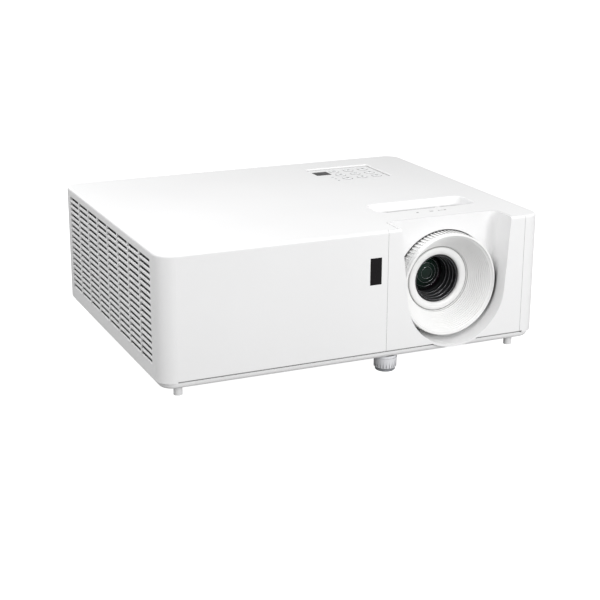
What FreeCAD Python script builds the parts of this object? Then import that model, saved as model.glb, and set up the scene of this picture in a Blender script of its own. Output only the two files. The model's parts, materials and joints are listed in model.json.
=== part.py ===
import FreeCAD, Part
import math
import os
import re
import Sketcher
from FreeCAD import Placement, Rotation, Vector

# Compact home projector, millimetres, +Z up. The origin is the middle of the footprint at the
# height of the feet's soles. The lens looks along -Y and sits on the +X side of the front.

SIZES = {
    # Case: overall size, then the shells.
    "case_width": 337.0,
    "case_depth": 265.0,
    "top_level": 123.0,
    "case_clearance": 15.2,
    "seam_level": 22.0,
    "seam_gap": 1.8,
    "side_seam_gap": 0.4,
    "wall": 2.5,
    "roof": 2.5,
    "corner_radius": 14.0,
    "top_edge_radius": 2.2,
    "base_inset": 2.3,
    "base_edge_radius": 3.6,
    "base_floor": 2.4,
    "lip_height": 4.0,
    "lip_wall": 1.8,
    "shell_gap": 0.4,
    "trim_gap": 0.2,
    "rim_round": 0.5,
    # Lens axis: inset from the +X side, drop from the top. The panel, scoop, pocket and
    # keypad are placed from the axis.
    "lens_inset": 78.8,
    "lens_drop": 56.5,
    "panel_to_left": 65.4,
    "panel_to_right": 62.5,
    "panel_wall": 2.3,
    "scoop_shift": 0.7,
    "scoop_drop": 2.0,
    "scoop_radius": 45.8,
    "scoop_to_left": 53.7,
    "scoop_to_right": 48.8,
    "scoop_depth": 25.5,
    "scoop_wall": 1.8,
    "scoop_fillet": 6.0,
    # Lens assembly. Depths along Y count from the front face.
    "ring_front": 12.5,
    "ring_radius": 43.4,
    "ring_gap": 0.8,
    "ring_rim": 1.4,
    "ring_skirt": 19.0,
    "ring_wall": 1.6,
    "cone_depth": 22.5,
    "cone_wall": 2.4,
    "throat_gap": 0.4,
    "hub_opening": 20.9,
    "hub_rise": 2.4,
    "hub_gap": 0.3,
    "sleeve_length": 15.5,
    "sleeve_wall": 3.0,
    "groove_count": 15,
    "groove_share": 0.6,
    "knurl_count": 84,
    "knurl_height": 0.7,
    "knurl_width": 1.3,
    "knurl_length": 14.0,
    "barrel_radius": 27.6,
    "barrel_wall": 3.6,
    "running_gap": 0.05,
    "barrel_front": 40.5,
    "barrel_length": 80.0,
    "flange_radius": 35.0,
    "flange_thickness": 4.0,
    "trim_opening": 20.6,
    "trim_depth": 2.3,
    "trim_bevel": 1.0,
    "cell_front": 35.6,
    "cell_nose": 9.0,
    "cell_length": 30.0,
    "cell_gap": 0.4,
    "cell_opening": 19.3,
    "cell_step": 0.9,
    "cell_steps": 3,
    "front_glass_radius": 16.2,
    "front_glass_depth": 52.0,
    "glass_edge": 4.0,
    "glass_bulge": 3.0,
    "zoom_ring_front": 60.5,
    "zoom_ring_length": 18.0,
    "zoom_ring_wall": 4.0,
    "lever_reach": 56.0,
    "lever_rest": 22.0,
    "lever_swing": 32.0,
    "lever_width": 6.0,
    "lever_depth": 6.0,
    "lever_gap": 1.5,
    "variator_front": 80.0,
    "variator_length": 16.0,
    "variator_glass_radius": 17.0,
    "rear_lens_front": 108.5,
    "rear_lens_length": 7.0,
    # Zoom pocket and keypad in the roof.
    "pocket_to_left": 44.7,
    "pocket_to_right": 48.3,
    "pocket_front": 54.5,
    "pocket_back": 84.5,
    "pocket_depth": 8.5,
    "pocket_radius": 8.0,
    "pocket_wall": 2.0,
    "keypad_half": 32.5,
    "keypad_front": 84.5,
    "keypad_back": 30.5,
    "keypad_recess": 1.7,
    "keypad_radius": 3.0,
    "keypad_rim": 1.1,
    "pocket_rim": 1.0,
    "bezel_plate": 1.8,
    "bezel_flange": 3.0,
    "key_travel": 0.8,
    "key_gap": 0.3,
    "key_proud": 0.9,
    "key_flange": 0.7,
    "key_board_drop": 11.0,
    "key_radius": 4.6,
    "key_bevel": 0.5,
    "key_dish": 0.25,
    "key_dish_radius": 1.84,
    "key_step_x": 15.0,
    "key_step_y": 15.0,
    "key_shift": 7.5,
    "light_shift": 19.0,
    "light_back": 13.0,
    "light_step": 7.0,
    "light_radius": 1.1,
    "sensor_to_left": 29.4,
    "sensor_to_right": 14.6,
    "sensor_low": 5.0,
    "sensor_high": 18.0,
    "switch_radius": 2.0,
    "switch_height": 1.4,
    "board_thickness": 1.6,
    "board_margin": 2.0,
    # Windows.
    "window_to_left": 81.3,
    "window_to_right": 71.0,
    "window_low": 43.6,
    "window_high": 21.2,
    "window_flange": 1.5,
    # Slotted sides.
    "slot_rows": 17,
    "slot_columns": 8,
    "slot_bar": 1.55,
    "slot_low": 32.0,
    "slot_top": 6.9,
    "slot_start": 19.5,
    "slot_end": 20.3,
    "column_bar": 2.0,
    "slot_slant": 0.3,
    "grille_wall": 1.3,
    "exhaust_start": 72.5,
    "exhaust_end": 22.5,
    "exhaust_sill": 2.0,
    "exhaust_columns": 5,
    "exhaust_frame": 5.0,
    # Feet and what holds the case together.
    "foot_offset": 57.3,
    "foot_setback": 16.5,
    "knob_radius": 9.75,
    "knob_height": 11.6,
    "knob_taper": 1.2,
    "knob_rib": 0.5,
    "knob_ribs": 24,
    "sole_height": 2.0,
    "sole_radius": 8.3,
    "pivot_radius": 2.5,
    "pivot_height": 4.0,
    "stem_radius": 4.0,
    "stem_length": 30.0,
    "insert_wall": 2.5,
    "insert_length": 14.0,
    "boss_wall": 2.5,
    "foot_thread_gap": 0.05,
    "thread_gap": 0.1,
    "collar_band": 2.4,
    "rear_foot_inset": 40.5,
    "rear_foot_setback": 24.5,
    "collar_inset": 18.5,
    "collar_setback": 14.5,
    "collar_radius": 3.5,
    "collar_low": 6.5,
    "head_radius": 2.3,
    "head_height": 2.0,
    "head_level": 13.0,
    "shank_radius": 1.25,
    "screw_gap": 0.3,
    "post_radius": 4.0,
    "screw_grip": 16.0,
    "ceiling_spacing_x": 210.0,
    "ceiling_spacing_y": 140.0,
    "ceiling_bore": 2.0,
    "ceiling_insert": 3.5,
    "ceiling_insert_length": 9.0,
    "ceiling_boss_wall": 2.0,
    # Optical engine.
    "engine_front": 120.5,
    "engine_half": 42.0,
    "engine_depth": 58.0,
    "engine_low": 30.0,
    "engine_high": 100.0,
    "engine_wall": 3.0,
    "engine_window": 20.0,
    "lid_thickness": 2.0,
    "chip_board_half": 28.0,
    "sink_half": 24.0,
    "sink_low": 44.0,
    "sink_high": 90.0,
    "sink_base": 4.0,
    "sink_depth": 26.0,
    "fin_count": 11,
    "fin_thickness": 1.2,
    "contact_half": 10.0,
    "contact_height": 2.4,
    "tunnel_width": 6.0,
    "tunnel_bore": 5.0,
    "tunnel_setback": 22.0,
    "tunnel_length": 19.1,
    "tunnel_inside": 5.9,
    "relay_radius": 12.0,
    "relay_thickness": 4.0,
    "relay_setback": 15.0,
    "mirror_size": 26.0,
    "mirror_thickness": 2.0,
    "mirror_setback": 6.0,
    "wheel_thickness": 0.8,
    "phosphor_radius": 22.0,
    "phosphor_to_lens": 87.7,
    "colour_radius": 18.0,
    "colour_to_lens": 59.7,
    "colour_drop": 14.0,
    "wheel_hub": 7.0,
    "wheel_hub_length": 1.6,
    "motor_radius": 9.0,
    "motor_length": 11.0,
    "motor_gap": 0.4,
    "motor_shaft": 1.5,
    "laser_width": 30.0,
    "laser_depth": 32.0,
    "laser_height": 38.0,
    "laser_setback": 162.5,
    "laser_to_lens": 65.7,
    "laser_sink_length": 54.0,
    "laser_sink_low": 34.0,
    "laser_sink_high": 104.0,
    "laser_sink_gap": 6.0,
    "laser_fin_count": 18,
    "pipe_radius": 3.0,
    "pipe_count": 3,
    "pipe_spacing": 11.0,
    # Boards, connectors, fans and the rest of the inside.
    "mainboard_left": 33.5,
    "mainboard_right": 78.5,
    "mainboard_front": 48.5,
    "mainboard_back": 5.5,
    "mainboard_level": 34.0,
    "rear_panel_inset": 26.5,
    "rear_panel_low": 28.0,
    "rear_panel_high": 80.0,
    "rear_panel_recess": 0.6,
    "rear_panel_thickness": 1.8,
    "port_depth": 20.0,
    "port_gap": 0.25,
    "port_proud": 0.5,
    "port_shell": 0.6,
    "jack_radius": 3.4,
    "jack_bore": 1.75,
    "inlet_to_right": 49.5,
    "inlet_width": 30.0,
    "inlet_height": 23.0,
    "inlet_socket_width": 24.2,
    "inlet_socket_height": 16.2,
    "inlet_socket_depth": 16.0,
    "inlet_depth": 24.0,
    "inlet_low": 38.0,
    "blade_width": 4.0,
    "blade_thickness": 2.0,
    "blade_spacing": 7.0,
    "supply_left": 34.5,
    "supply_front": 14.5,
    "supply_width": 122.0,
    "supply_depth": 60.0,
    "supply_level": 30.0,
    "supply_margin": 10.0,
    "transformer_width": 32.0,
    "transformer_height": 26.0,
    "filter_coil": 18.0,
    "capacitor_radius": 8.0,
    "capacitor_height": 30.0,
    "capacitor_step": 18.0,
    "chip_count": 4,
    "chip_start": 20.0,
    "chip_step": 45.0,
    "chip_size": 20.0,
    "chip_margin": 4.0,
    "chip_height": 2.2,
    "fan_size": 80.0,
    "fan_thickness": 25.0,
    "fan_low": 24.0,
    "fan_bore": 38.6,
    "fan_hub": 15.5,
    "fan_strut": 4.0,
    "blade_tip": 35.4,
    "blade_count": 7,
    "blade_sheet": 1.6,
    "intake_gap": 8.5,
    "exhaust_gap": 5.5,
    "exhaust_fan_setback": 34.5,
    "filter_gap": 0.4,
    "filter_thickness": 2.5,
    "filter_margin": 17.5,
    "filter_sill": 4.0,
    "speaker_radius": 22.0,
    "speaker_depth": 24.0,
    "speaker_rim": 3.0,
    "speaker_inset": 40.5,
    "speaker_level": 46.0,
}

DOC = FreeCAD.newDocument("Projector")
NODES = []
WORD = re.compile(r"[a-z_][a-z_0-9]*")
UP = Rotation()
BACK = Rotation(Vector(1, 0, 0), -90)
RIGHT = Rotation(Vector(0, 1, 0), 90)
FULL_TURN = 360.0


def write_sheet():
    """One row per driving dimension: its name, and its value under that alias."""
    sheet = DOC.addObject("Spreadsheet::Sheet", "Sizes")
    for row, (name, value) in enumerate(SIZES.items(), start=1):
        sheet.set(f"A{row}", name)
        sheet.set(f"B{row}", str(value))
        sheet.setAlias(f"B{row}", name)
    DOC.recompute()


def bound(text):
    """An expression in the sheet's own names."""
    return WORD.sub(
        lambda word: "Sizes." + word.group() if word.group() in SIZES else word.group(), str(text),
    )


def bind(item, **sizes):
    """Tie an object's properties to expressions of the sheet."""
    for name, text in sizes.items():
        item.setExpression(name, bound(text))


def place(item, at, turn=UP):
    """Put an object at a bound point, turned as given."""
    item.Placement = Placement(Vector(0, 0, 0), turn)
    for axis, text in zip("xyz", at):
        item.setExpression(f"Placement.Base.{axis}", bound(text))


def node(item, name):
    """Mark a finished object as one sub-part."""
    item.Label = name
    NODES.append(item)
    return item


# --- plain solids and booleans -------------------------------------------------------------


def block(name, x, y, z):
    """A box between two bound limits along each axis."""
    item = DOC.addObject("Part::Box", name)
    spans = {"Length": x, "Width": y, "Height": z}
    for key, (low, high) in spans.items():
        item.setExpression(key, bound(f"({high}) - ({low})"))
    place(item, (x[0], y[0], z[0]))
    return item


def rod(name, radius, length, at, turn=UP):
    """A cylinder that starts at a bound point and runs along the turned Z axis."""
    item = DOC.addObject("Part::Cylinder", name)
    bind(item, Radius=radius, Height=length)
    place(item, at, turn)
    return item


def fuse(name, *pieces):
    item = DOC.addObject("Part::MultiFuse", name)
    item.Shapes = list(pieces)
    item.Refine = True
    return item


def cut(name, base, *tools):
    item = DOC.addObject("Part::Cut", name)
    item.Base = base
    item.Tool = tools[0] if len(tools) == 1 else group(name + "_tools", *tools)
    return item


def group(name, *pieces):
    item = DOC.addObject("Part::Compound", name)
    item.Links = list(pieces)
    return item


# --- sketched bodies -----------------------------------------------------------------------


def new_body(name, at=(0, 0, 0), turn=UP):
    body = DOC.addObject("PartDesign::Body", name)
    place(body, at, turn)
    return body


def origin_of(body, role):
    return next(item for item in body.Origin.OriginFeatures if item.Role == role)


def new_sketch(body, name, plane, offset):
    sketch = body.newObject("Sketcher::SketchObject", name)
    sketch.AttachmentSupport = [(origin_of(body, plane), "")]
    sketch.MapMode = "FlatFace"
    sketch.setExpression("AttachmentOffset.Base.z", bound(offset))
    return sketch


def fix_point(sketch, line, end, point):
    """Hold one end of a line at a bound point of the sketch."""
    for kind, text in zip(("DistanceX", "DistanceY"), point):
        index = sketch.addConstraint(Sketcher.Constraint(kind, line, end, 1.0))
        sketch.setExpression(f"Constraints[{index}]", bound(text))


def draw_loop(sketch, points):
    """A closed loop of straight runs through bound points."""
    count = len(points)
    first = sketch.GeometryCount
    start = [
        Vector(math.cos(math.tau * i / count), math.sin(math.tau * i / count), 0) * 10 for i in range(count)
    ]
    for i in range(count):
        sketch.addGeometry(Part.LineSegment(start[i], start[(i + 1) % count]))
    for i in range(count):
        following = (i + 1) % count
        sketch.addConstraint(Sketcher.Constraint("Coincident", first + i, 2, first + following, 1))
    for i, point in enumerate(points):
        fix_point(sketch, first + i, 1, point)


def draw_rectangle(sketch, x, y):
    draw_loop(sketch, [(x[0], y[0]), (x[1], y[0]), (x[1], y[1]), (x[0], y[1])])


def draw_rounded(sketch, x, y, radius):
    """A rectangle whose corners are arcs of one bound radius."""
    reach, bend = 40.0, 10.0
    signs = [(-1, -1), (1, -1), (1, 1), (-1, 1)]
    centres = [Vector(reach * side, reach * end, 0) for side, end in signs]
    angles = [math.pi + quarter * math.pi / 2 for quarter in range(4)]
    for i in range(4):
        circle = Part.Circle(centres[i], Vector(0, 0, 1), bend)
        sketch.addGeometry(Part.ArcOfCircle(circle, angles[i], angles[i] + math.pi / 2))
        out = Vector(math.cos(angles[i] + math.pi / 2), math.sin(angles[i] + math.pi / 2), 0) * bend
        sketch.addGeometry(Part.LineSegment(centres[i] + out, centres[(i + 1) % 4] + out))
    for i in range(4):
        sketch.addConstraint(Sketcher.Constraint("Tangent", 2 * i, 2, 2 * i + 1, 1))
        sketch.addConstraint(Sketcher.Constraint("Tangent", 2 * i + 1, 2, 2 * (i + 1) % 8, 1))
    for i, (side, end) in enumerate(signs):
        low_x = f"({x[0]}) + ({radius})" if side < 0 else f"({x[1]}) - ({radius})"
        low_y = f"({y[0]}) + ({radius})" if end < 0 else f"({y[1]}) - ({radius})"
        fix_point(sketch, 2 * i, 3, (low_x, low_y))
        size = sketch.addConstraint(Sketcher.Constraint("Radius", 2 * i, bend))
        sketch.setExpression(f"Constraints[{size}]", bound(radius))


def draw_outline(sketch, x, y, radius):
    if radius is None:
        draw_rectangle(sketch, x, y)
    else:
        draw_rounded(sketch, x, y, radius)


def draw_circle(sketch, centre, radius):
    index = sketch.addGeometry(Part.Circle(Vector(0, 0, 0), Vector(0, 0, 1), 5))
    fix_point(sketch, index, 3, centre)
    size = sketch.addConstraint(Sketcher.Constraint("Radius", index, 5.0))
    sketch.setExpression(f"Constraints[{size}]", bound(radius))


def extrude(body, kind, name, sketch, length, backwards=False):
    item = body.newObject(kind, name)
    item.Profile = sketch
    item.Reversed = backwards
    bind(item, Length=length)
    DOC.recompute()
    return item


def pad(body, name, sketch, length, backwards=False):
    return extrude(body, "PartDesign::Pad", name, sketch, length, backwards)


def pocket(body, name, sketch, length, backwards=False):
    """A cut that must take something away."""
    before = body.Shape.Volume
    item = extrude(body, "PartDesign::Pocket", name, sketch, length, backwards)
    if not item.Shape.Volume < before - 1e-6:
        raise ValueError(f"{name} cuts nothing")
    return item


def pad_box(body, name, x, y, z, radius=None):
    """Add a box between bound limits, its upright corners rounded if a radius is given."""
    sketch = new_sketch(body, name + "_outline", "XY_Plane", z[0])
    draw_outline(sketch, x, y, radius)
    return pad(body, name, sketch, f"({z[1]}) - ({z[0]})")


def cut_box(body, name, x, y, z, radius=None):
    """Take away a box between bound limits, its upright corners rounded if a radius is given."""
    sketch = new_sketch(body, name + "_outline", "XY_Plane", z[0])
    draw_outline(sketch, x, y, radius)
    return pocket(body, name, sketch, f"({z[1]}) - ({z[0]})", True)


def pad_rod(body, name, centre, radius, z):
    sketch = new_sketch(body, name + "_outline", "XY_Plane", z[0])
    draw_circle(sketch, centre, radius)
    return pad(body, name, sketch, f"({z[1]}) - ({z[0]})")


def cut_rod(body, name, centre, radius, z):
    sketch = new_sketch(body, name + "_outline", "XY_Plane", z[0])
    draw_circle(sketch, centre, radius)
    return pocket(body, name, sketch, f"({z[1]}) - ({z[0]})", True)


def round_edges(body, name, radius, wanted):
    """Fillet the edges of the body's newest shape that the test picks."""
    DOC.recompute()
    base = body.Tip
    names = [f"Edge{i}" for i, edge in enumerate(base.Shape.Edges, start=1) if wanted(edge)]
    item = body.newObject("PartDesign::Fillet", name)
    item.Base = (base, names)
    bind(item, Radius=radius)
    DOC.recompute()
    return item


def along(edge, axis, slack=1e-6):
    """True for a straight edge that runs along one axis."""
    if edge.Curve.TypeId != "Part::GeomLine":
        return False
    return abs(abs(edge.tangentAt(edge.FirstParameter).dot(axis)) - 1) < slack


def middle(edge):
    return edge.valueAt((edge.FirstParameter + edge.LastParameter) / 2)


def turned(name, profile, at, turn):
    """A body turned from (radius, place along the axis) points."""
    body = new_body(name, at, turn)
    sketch = new_sketch(body, name + "_profile", "XZ_Plane", 0)
    draw_loop(sketch, profile)
    item = body.newObject("PartDesign::Revolution", name + "_turn")
    item.Profile = sketch
    item.ReferenceAxis = (sketch, ["V_Axis"])
    item.Angle = FULL_TURN
    DOC.recompute()
    return body


# --- the case ------------------------------------------------------------------------------

LEFT, RIGHT_SIDE = "(-case_width / 2)", "(case_width / 2)"
FRONT, REAR = "(-case_depth / 2)", "(case_depth / 2)"
LENS_X = "(case_width / 2 - lens_inset)"
LENS_Z = "(top_level - lens_drop)"
SCOOP_X = f"({LENS_X} - scoop_shift)"
SCOOP_Z = f"({LENS_Z} - scoop_drop)"
KEYPAD_Y = (f"{REAR} - keypad_front", f"{REAR} - keypad_back")
BASE_FLOOR = "(case_clearance + base_floor)"
COVER_LOW = "(seam_level - seam_gap + side_seam_gap)"
BEZEL_TOP = "(top_level - keypad_recess)"
PAST = 1.0
FOOT_AT = (f"({LENS_X} - foot_offset)", f"({FRONT} + foot_setback)")
SLOT_TALL = "((top_level - slot_top - slot_low + slot_bar) / slot_rows - slot_bar)"
SLOT_PITCH = f"({SLOT_TALL} + slot_bar)"
EXHAUST_Z = ("slot_low - exhaust_sill", f"slot_low + {SLOT_PITCH} * slot_rows + slot_slant")
COLUMN_PITCH = "((case_depth - slot_start - slot_end + column_bar) / slot_columns)"


def corner_points(inset, setback):
    """The four mirrored places at one inset from the sides and one setback from front and rear."""
    return [
        (f"{side} * (case_width / 2 - {inset})", f"{end} * (case_depth / 2 - {setback})")
        for side in (-1, 1)
        for end in (-1, 1)
    ]


def footprint(inset):
    """The case's footprint, moved in by the same amount all round."""
    return [
        (f"{low} + ({inset})", f"{high} - ({inset})") for low, high in ((LEFT, RIGHT_SIDE), (FRONT, REAR))
    ]


def linear_pattern(body, name, feature, role, spacing, count):
    item = body.newObject("PartDesign::LinearPattern", name)
    item.Originals = [feature]
    item.Direction = (origin_of(body, role), [""])
    bind(item, Length=f"({spacing}) * ({count} - 1)", Occurrences=count)
    body.Tip = item
    DOC.recompute()
    return item


def polar_pattern(body, name, feature, role, count):
    item = body.newObject("PartDesign::PolarPattern", name)
    item.Originals = [feature]
    item.Axis = (origin_of(body, role), [""])
    item.Angle = FULL_TURN
    bind(item, Occurrences=count)
    body.Tip = item
    DOC.recompute()
    return item


def cut_louvres(body, name, side, y, bars, bar_pitch):
    """Rows of slanted slots through a side wall, crossed by upright bars."""
    outer, inner = f"{side} * case_width / 2", f"{side} * (case_width / 2 - grille_wall)"
    slope = "slot_slant / grille_wall"
    sketch = new_sketch(body, name + "_slot_outline", "XZ_Plane", f"-({y[0]})")
    draw_loop(sketch, [
        (f"{outer} + {side * PAST}", f"slot_low - {slope}"),
        (f"{inner} - {side * PAST}", f"slot_low + slot_slant + {slope}"),
        (f"{inner} - {side * PAST}", f"slot_low + slot_slant + {slope} + {SLOT_TALL}"),
        (f"{outer} + {side * PAST}", f"slot_low - {slope} + {SLOT_TALL}"),
    ])
    slot = pocket(body, name + "_slot", sketch, f"({y[1]}) - ({y[0]})")
    linear_pattern(body, name + "_slots", slot, "Z_Axis", SLOT_PITCH, "slot_rows")
    x = (inner, outer) if side > 0 else (outer, inner)
    bar = pad_box(
        body, name + "_bar", x,
        (f"{y[0]} + {bar_pitch} - column_bar", f"{y[0]} + {bar_pitch}"),
        ("slot_low - slot_bar / 2", f"slot_low + slot_slant + {SLOT_PITCH} * slot_rows - slot_bar / 2"),
    )
    linear_pattern(body, name + "_bars", bar, "Y_Axis", bar_pitch, bars)


def make_top_cover():
    body = new_body("top_cover")
    pad_box(body, "cover_block", *footprint("0"), (COVER_LOW, "top_level"), "corner_radius")
    top = SIZES["top_level"]
    round_edges(body, "cover_top_round", "top_edge_radius", lambda edge: abs(middle(edge).z - top) < 1e-6)
    cut_box(
        body, "cover_hollow", *footprint("wall"), (f"{COVER_LOW} - {PAST}", "top_level - roof"),
        "corner_radius - wall",
    )
    cut_box(
        body, "front_seam", (f"{LEFT} + corner_radius", f"{RIGHT_SIDE} - corner_radius"),
        (f"{FRONT} - {PAST}", f"{FRONT} + wall + {PAST}"), (f"{COVER_LOW} - {PAST}", "seam_level"),
    )
    make_roof_features(body)
    panel_x = (f"{LENS_X} - panel_to_left", f"{LENS_X} + panel_to_right")
    cut_box(
        body, "lens_panel_opening", panel_x, (f"{FRONT} - {PAST}", f"{FRONT} + wall + {PAST}"),
        (f"{COVER_LOW} - {PAST}", "top_level - roof"),
    )
    cut_box(
        body, "lens_panel_rebate", panel_x, (f"{FRONT} - {PAST}", f"{FRONT} + panel_wall + trim_gap"),
        (f"top_level - roof - {PAST}", f"top_level + {PAST}"),
    )
    edge = "scoop_wall + trim_gap"
    bend = "(scoop_fillet + trim_gap)"
    cut_box(
        body, "scoop_notch", (f"{LENS_X} - scoop_to_left - {edge}", f"{LENS_X} + scoop_to_right + {edge}"),
        (f"{FRONT} - 2 * {bend}", f"{FRONT} + scoop_depth + {edge}"),
        ("top_level - pocket_depth", f"top_level + {PAST}"),
        bend,
    )
    cut_box(
        body, "window_hole", (f"{LENS_X} - window_to_left", f"{LENS_X} - window_to_right"),
        (f"{FRONT} - {PAST}", f"{FRONT} + wall + {PAST}"),
        ("top_level - window_low", "top_level - window_high"),
    )
    cut_box(
        body, "exhaust_opening", (f"{RIGHT_SIDE} - wall - {PAST}", f"{RIGHT_SIDE} + {PAST}"),
        (f"{FRONT} + exhaust_start", f"{REAR} - exhaust_end"), EXHAUST_Z,
    )
    cut_box(
        body, "rear_opening", (f"{LEFT} + rear_panel_inset", f"{RIGHT_SIDE} - rear_panel_inset"),
        (f"{REAR} - wall - {PAST}", f"{REAR} + {PAST}"), ("rear_panel_low", "rear_panel_high"),
    )
    for index, point in enumerate(corner_points("collar_inset", "collar_setback")):
        pad_rod(
            body, f"post_{index}", point, "post_radius",
            (f"{BASE_FLOOR} + shell_gap", "top_level - roof / 2"),
        )
        cut_rod(
            body, f"post_bore_{index}", point, "shank_radius + running_gap",
            (f"{BASE_FLOOR} + shell_gap - {PAST}", f"{BASE_FLOOR} + screw_grip + {PAST}"),
        )
    intake_y = (f"{FRONT} + slot_start", f"{REAR} - slot_end")
    cut_box(
        body, "intake_relief", (f"{LEFT} + grille_wall", f"{LEFT} + wall + {PAST}"), intake_y,
        (f"slot_low - {PAST}", f"slot_low + slot_slant + {SLOT_PITCH} * slot_rows"),
    )
    cut_louvres(body, "intake", -1, intake_y, "slot_columns - 1", COLUMN_PITCH)
    return node(body, "top_cover")


def cut_from_roof(body, name, x, y, low, radius, rim):
    """Cut a rounded box down from the roof and round the rim that it leaves."""
    top = SIZES["top_level"]

    def on_roof(edge):
        return all(
            abs(spot.z - top) < 1e-6 for spot in (
                middle(edge), edge.Vertexes[0].Point, edge.Vertexes[-1].Point,
            )
        )

    before = [middle(edge) for edge in body.Shape.Edges if on_roof(edge)]
    cut_box(body, name, x, y, (low, f"top_level + {PAST}"), radius)
    round_edges(
        body, name + "_rim", rim,
        lambda edge: on_roof(edge) and all(middle(edge).distanceToPoint(spot) > 1e-3 for spot in before),
    )


def make_roof_features(body):
    """The zoom lever's pocket with its slot, and the keypad opening."""
    x = (f"{LENS_X} - pocket_to_left", f"{LENS_X} + pocket_to_right")
    y = (f"{FRONT} + pocket_front", f"{FRONT} + pocket_back")
    pad_box(
        body, "pocket_tray", (f"{x[0]} - pocket_wall", f"{x[1]} + pocket_wall"),
        (f"{y[0]} - pocket_wall", f"{y[1]} + pocket_wall"),
        ("top_level - pocket_depth - pocket_wall", "top_level - roof / 2"),
    )
    cut_from_roof(body, "zoom_pocket", x, y, "top_level - pocket_depth", "pocket_radius", "pocket_rim")
    rise = "(lens_drop - pocket_depth)"
    lever_y = f"({FRONT} + zoom_ring_front + zoom_ring_length / 2)"
    cut_box(
        body, "lever_slot",
        (f"{LENS_X} - {rise} * tan(lever_swing - lever_rest) - lever_width / 2 - 2 * lever_gap",
         f"{LENS_X} + {rise} * tan(lever_rest) + lever_width / 2 + 2 * lever_gap"),
        (f"{lever_y} - lever_depth / 2 - lever_gap", f"{lever_y} + lever_depth / 2 + lever_gap"),
        (f"top_level - pocket_depth - pocket_wall - {PAST}", f"top_level - pocket_depth + {PAST}"),
    )
    cut_from_roof(
        body, "keypad_opening", (f"{LENS_X} - keypad_half", f"{LENS_X} + keypad_half"), KEYPAD_Y,
        f"top_level - roof - {PAST}", "keypad_radius", "keypad_rim",
    )


def make_bottom_case():
    body = new_body("bottom_case")
    pad_box(
        body, "base_block", *footprint("base_inset"), ("case_clearance", "seam_level - seam_gap"),
        "corner_radius - base_inset",
    )
    low = SIZES["case_clearance"]
    round_edges(body, "base_round", "base_edge_radius", lambda edge: abs(middle(edge).z - low) < 1e-6)
    inset = "wall + shell_gap"
    lip_top = "seam_level - seam_gap + lip_height"
    pad_box(body, "lip", *footprint(inset), (BASE_FLOOR, lip_top), f"corner_radius - ({inset})")
    inset = "wall + shell_gap + lip_wall"
    cut_box(
        body, "base_hollow", *footprint(inset), (BASE_FLOOR, f"{lip_top} + {PAST}"),
        f"corner_radius - ({inset})",
    )
    notch = new_sketch(body, "scoop_notch_outline", "XZ_Plane", f"-({FRONT} - {PAST})")
    draw_circle(notch, (SCOOP_X, SCOOP_Z), "scoop_radius + scoop_wall + shell_gap")
    pocket(body, "base_scoop_notch", notch, f"scoop_depth + scoop_wall + shell_gap + {PAST}")
    for index, (x, y) in enumerate([FOOT_AT] + REAR_FEET):
        top = "(case_clearance + insert_length)"
        pad_rod(
            body, f"foot_boss_{index}", (x, y), "stem_radius + insert_wall + boss_wall",
            ("case_clearance", top),
        )
        cut_rod(
            body, f"foot_bore_{index}", (x, y), "stem_radius + insert_wall + running_gap",
            (f"case_clearance - {PAST}", f"{top} + {PAST}"),
        )
    for index, point in enumerate(corner_points("collar_inset", "collar_setback")):
        pad_rod(body, f"collar_{index}", point, "collar_radius", ("collar_low", BASE_FLOOR))
        cut_rod(
            body, f"collar_bore_{index}", point, "head_radius + screw_gap",
            (f"collar_low - {PAST}", "head_level + head_height"),
        )
        cut_rod(
            body, f"collar_hole_{index}", point, "shank_radius + screw_gap",
            (f"head_level + head_height - {PAST}", f"{BASE_FLOOR} + {PAST}"),
        )
    for index, (x, y) in enumerate(CEILING_POINTS):
        top = "(case_clearance + ceiling_insert_length)"
        pad_rod(
            body, f"ceiling_boss_{index}", (x, y), "ceiling_insert + ceiling_boss_wall",
            ("case_clearance", top),
        )
        cut_rod(
            body, f"ceiling_hole_{index}", (x, y), "ceiling_insert + running_gap",
            (f"case_clearance - {PAST}", f"{top} + {PAST}"),
        )
    return node(body, "bottom_case")


REAR_FEET = [
    (f"{side} * (case_width / 2 - rear_foot_inset)", f"{REAR} - rear_foot_setback") for side in (-1, 1)
]
CEILING_POINTS = [
    (
        f"{side} * ceiling_spacing_x / 2", f"{end} * ceiling_spacing_y / 2",
    ) for side in (-1, 1) for end in (-1, 1)
]


def tangent_spot(side_x, top_z, side):
    """The scoop's centre, and the angle at which a wall from the top runs into its circle."""
    centre = (SIZES["case_width"] / 2 - SIZES["lens_inset"] - SIZES["scoop_shift"],
              SIZES["top_level"] - SIZES["lens_drop"] - SIZES["scoop_drop"])
    away = (side_x - centre[0], top_z - centre[1])
    reach = math.hypot(*away)
    angle = math.atan2(away[1], away[0]) - side * math.acos(SIZES["scoop_radius"] / reach)
    return centre, angle


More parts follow.
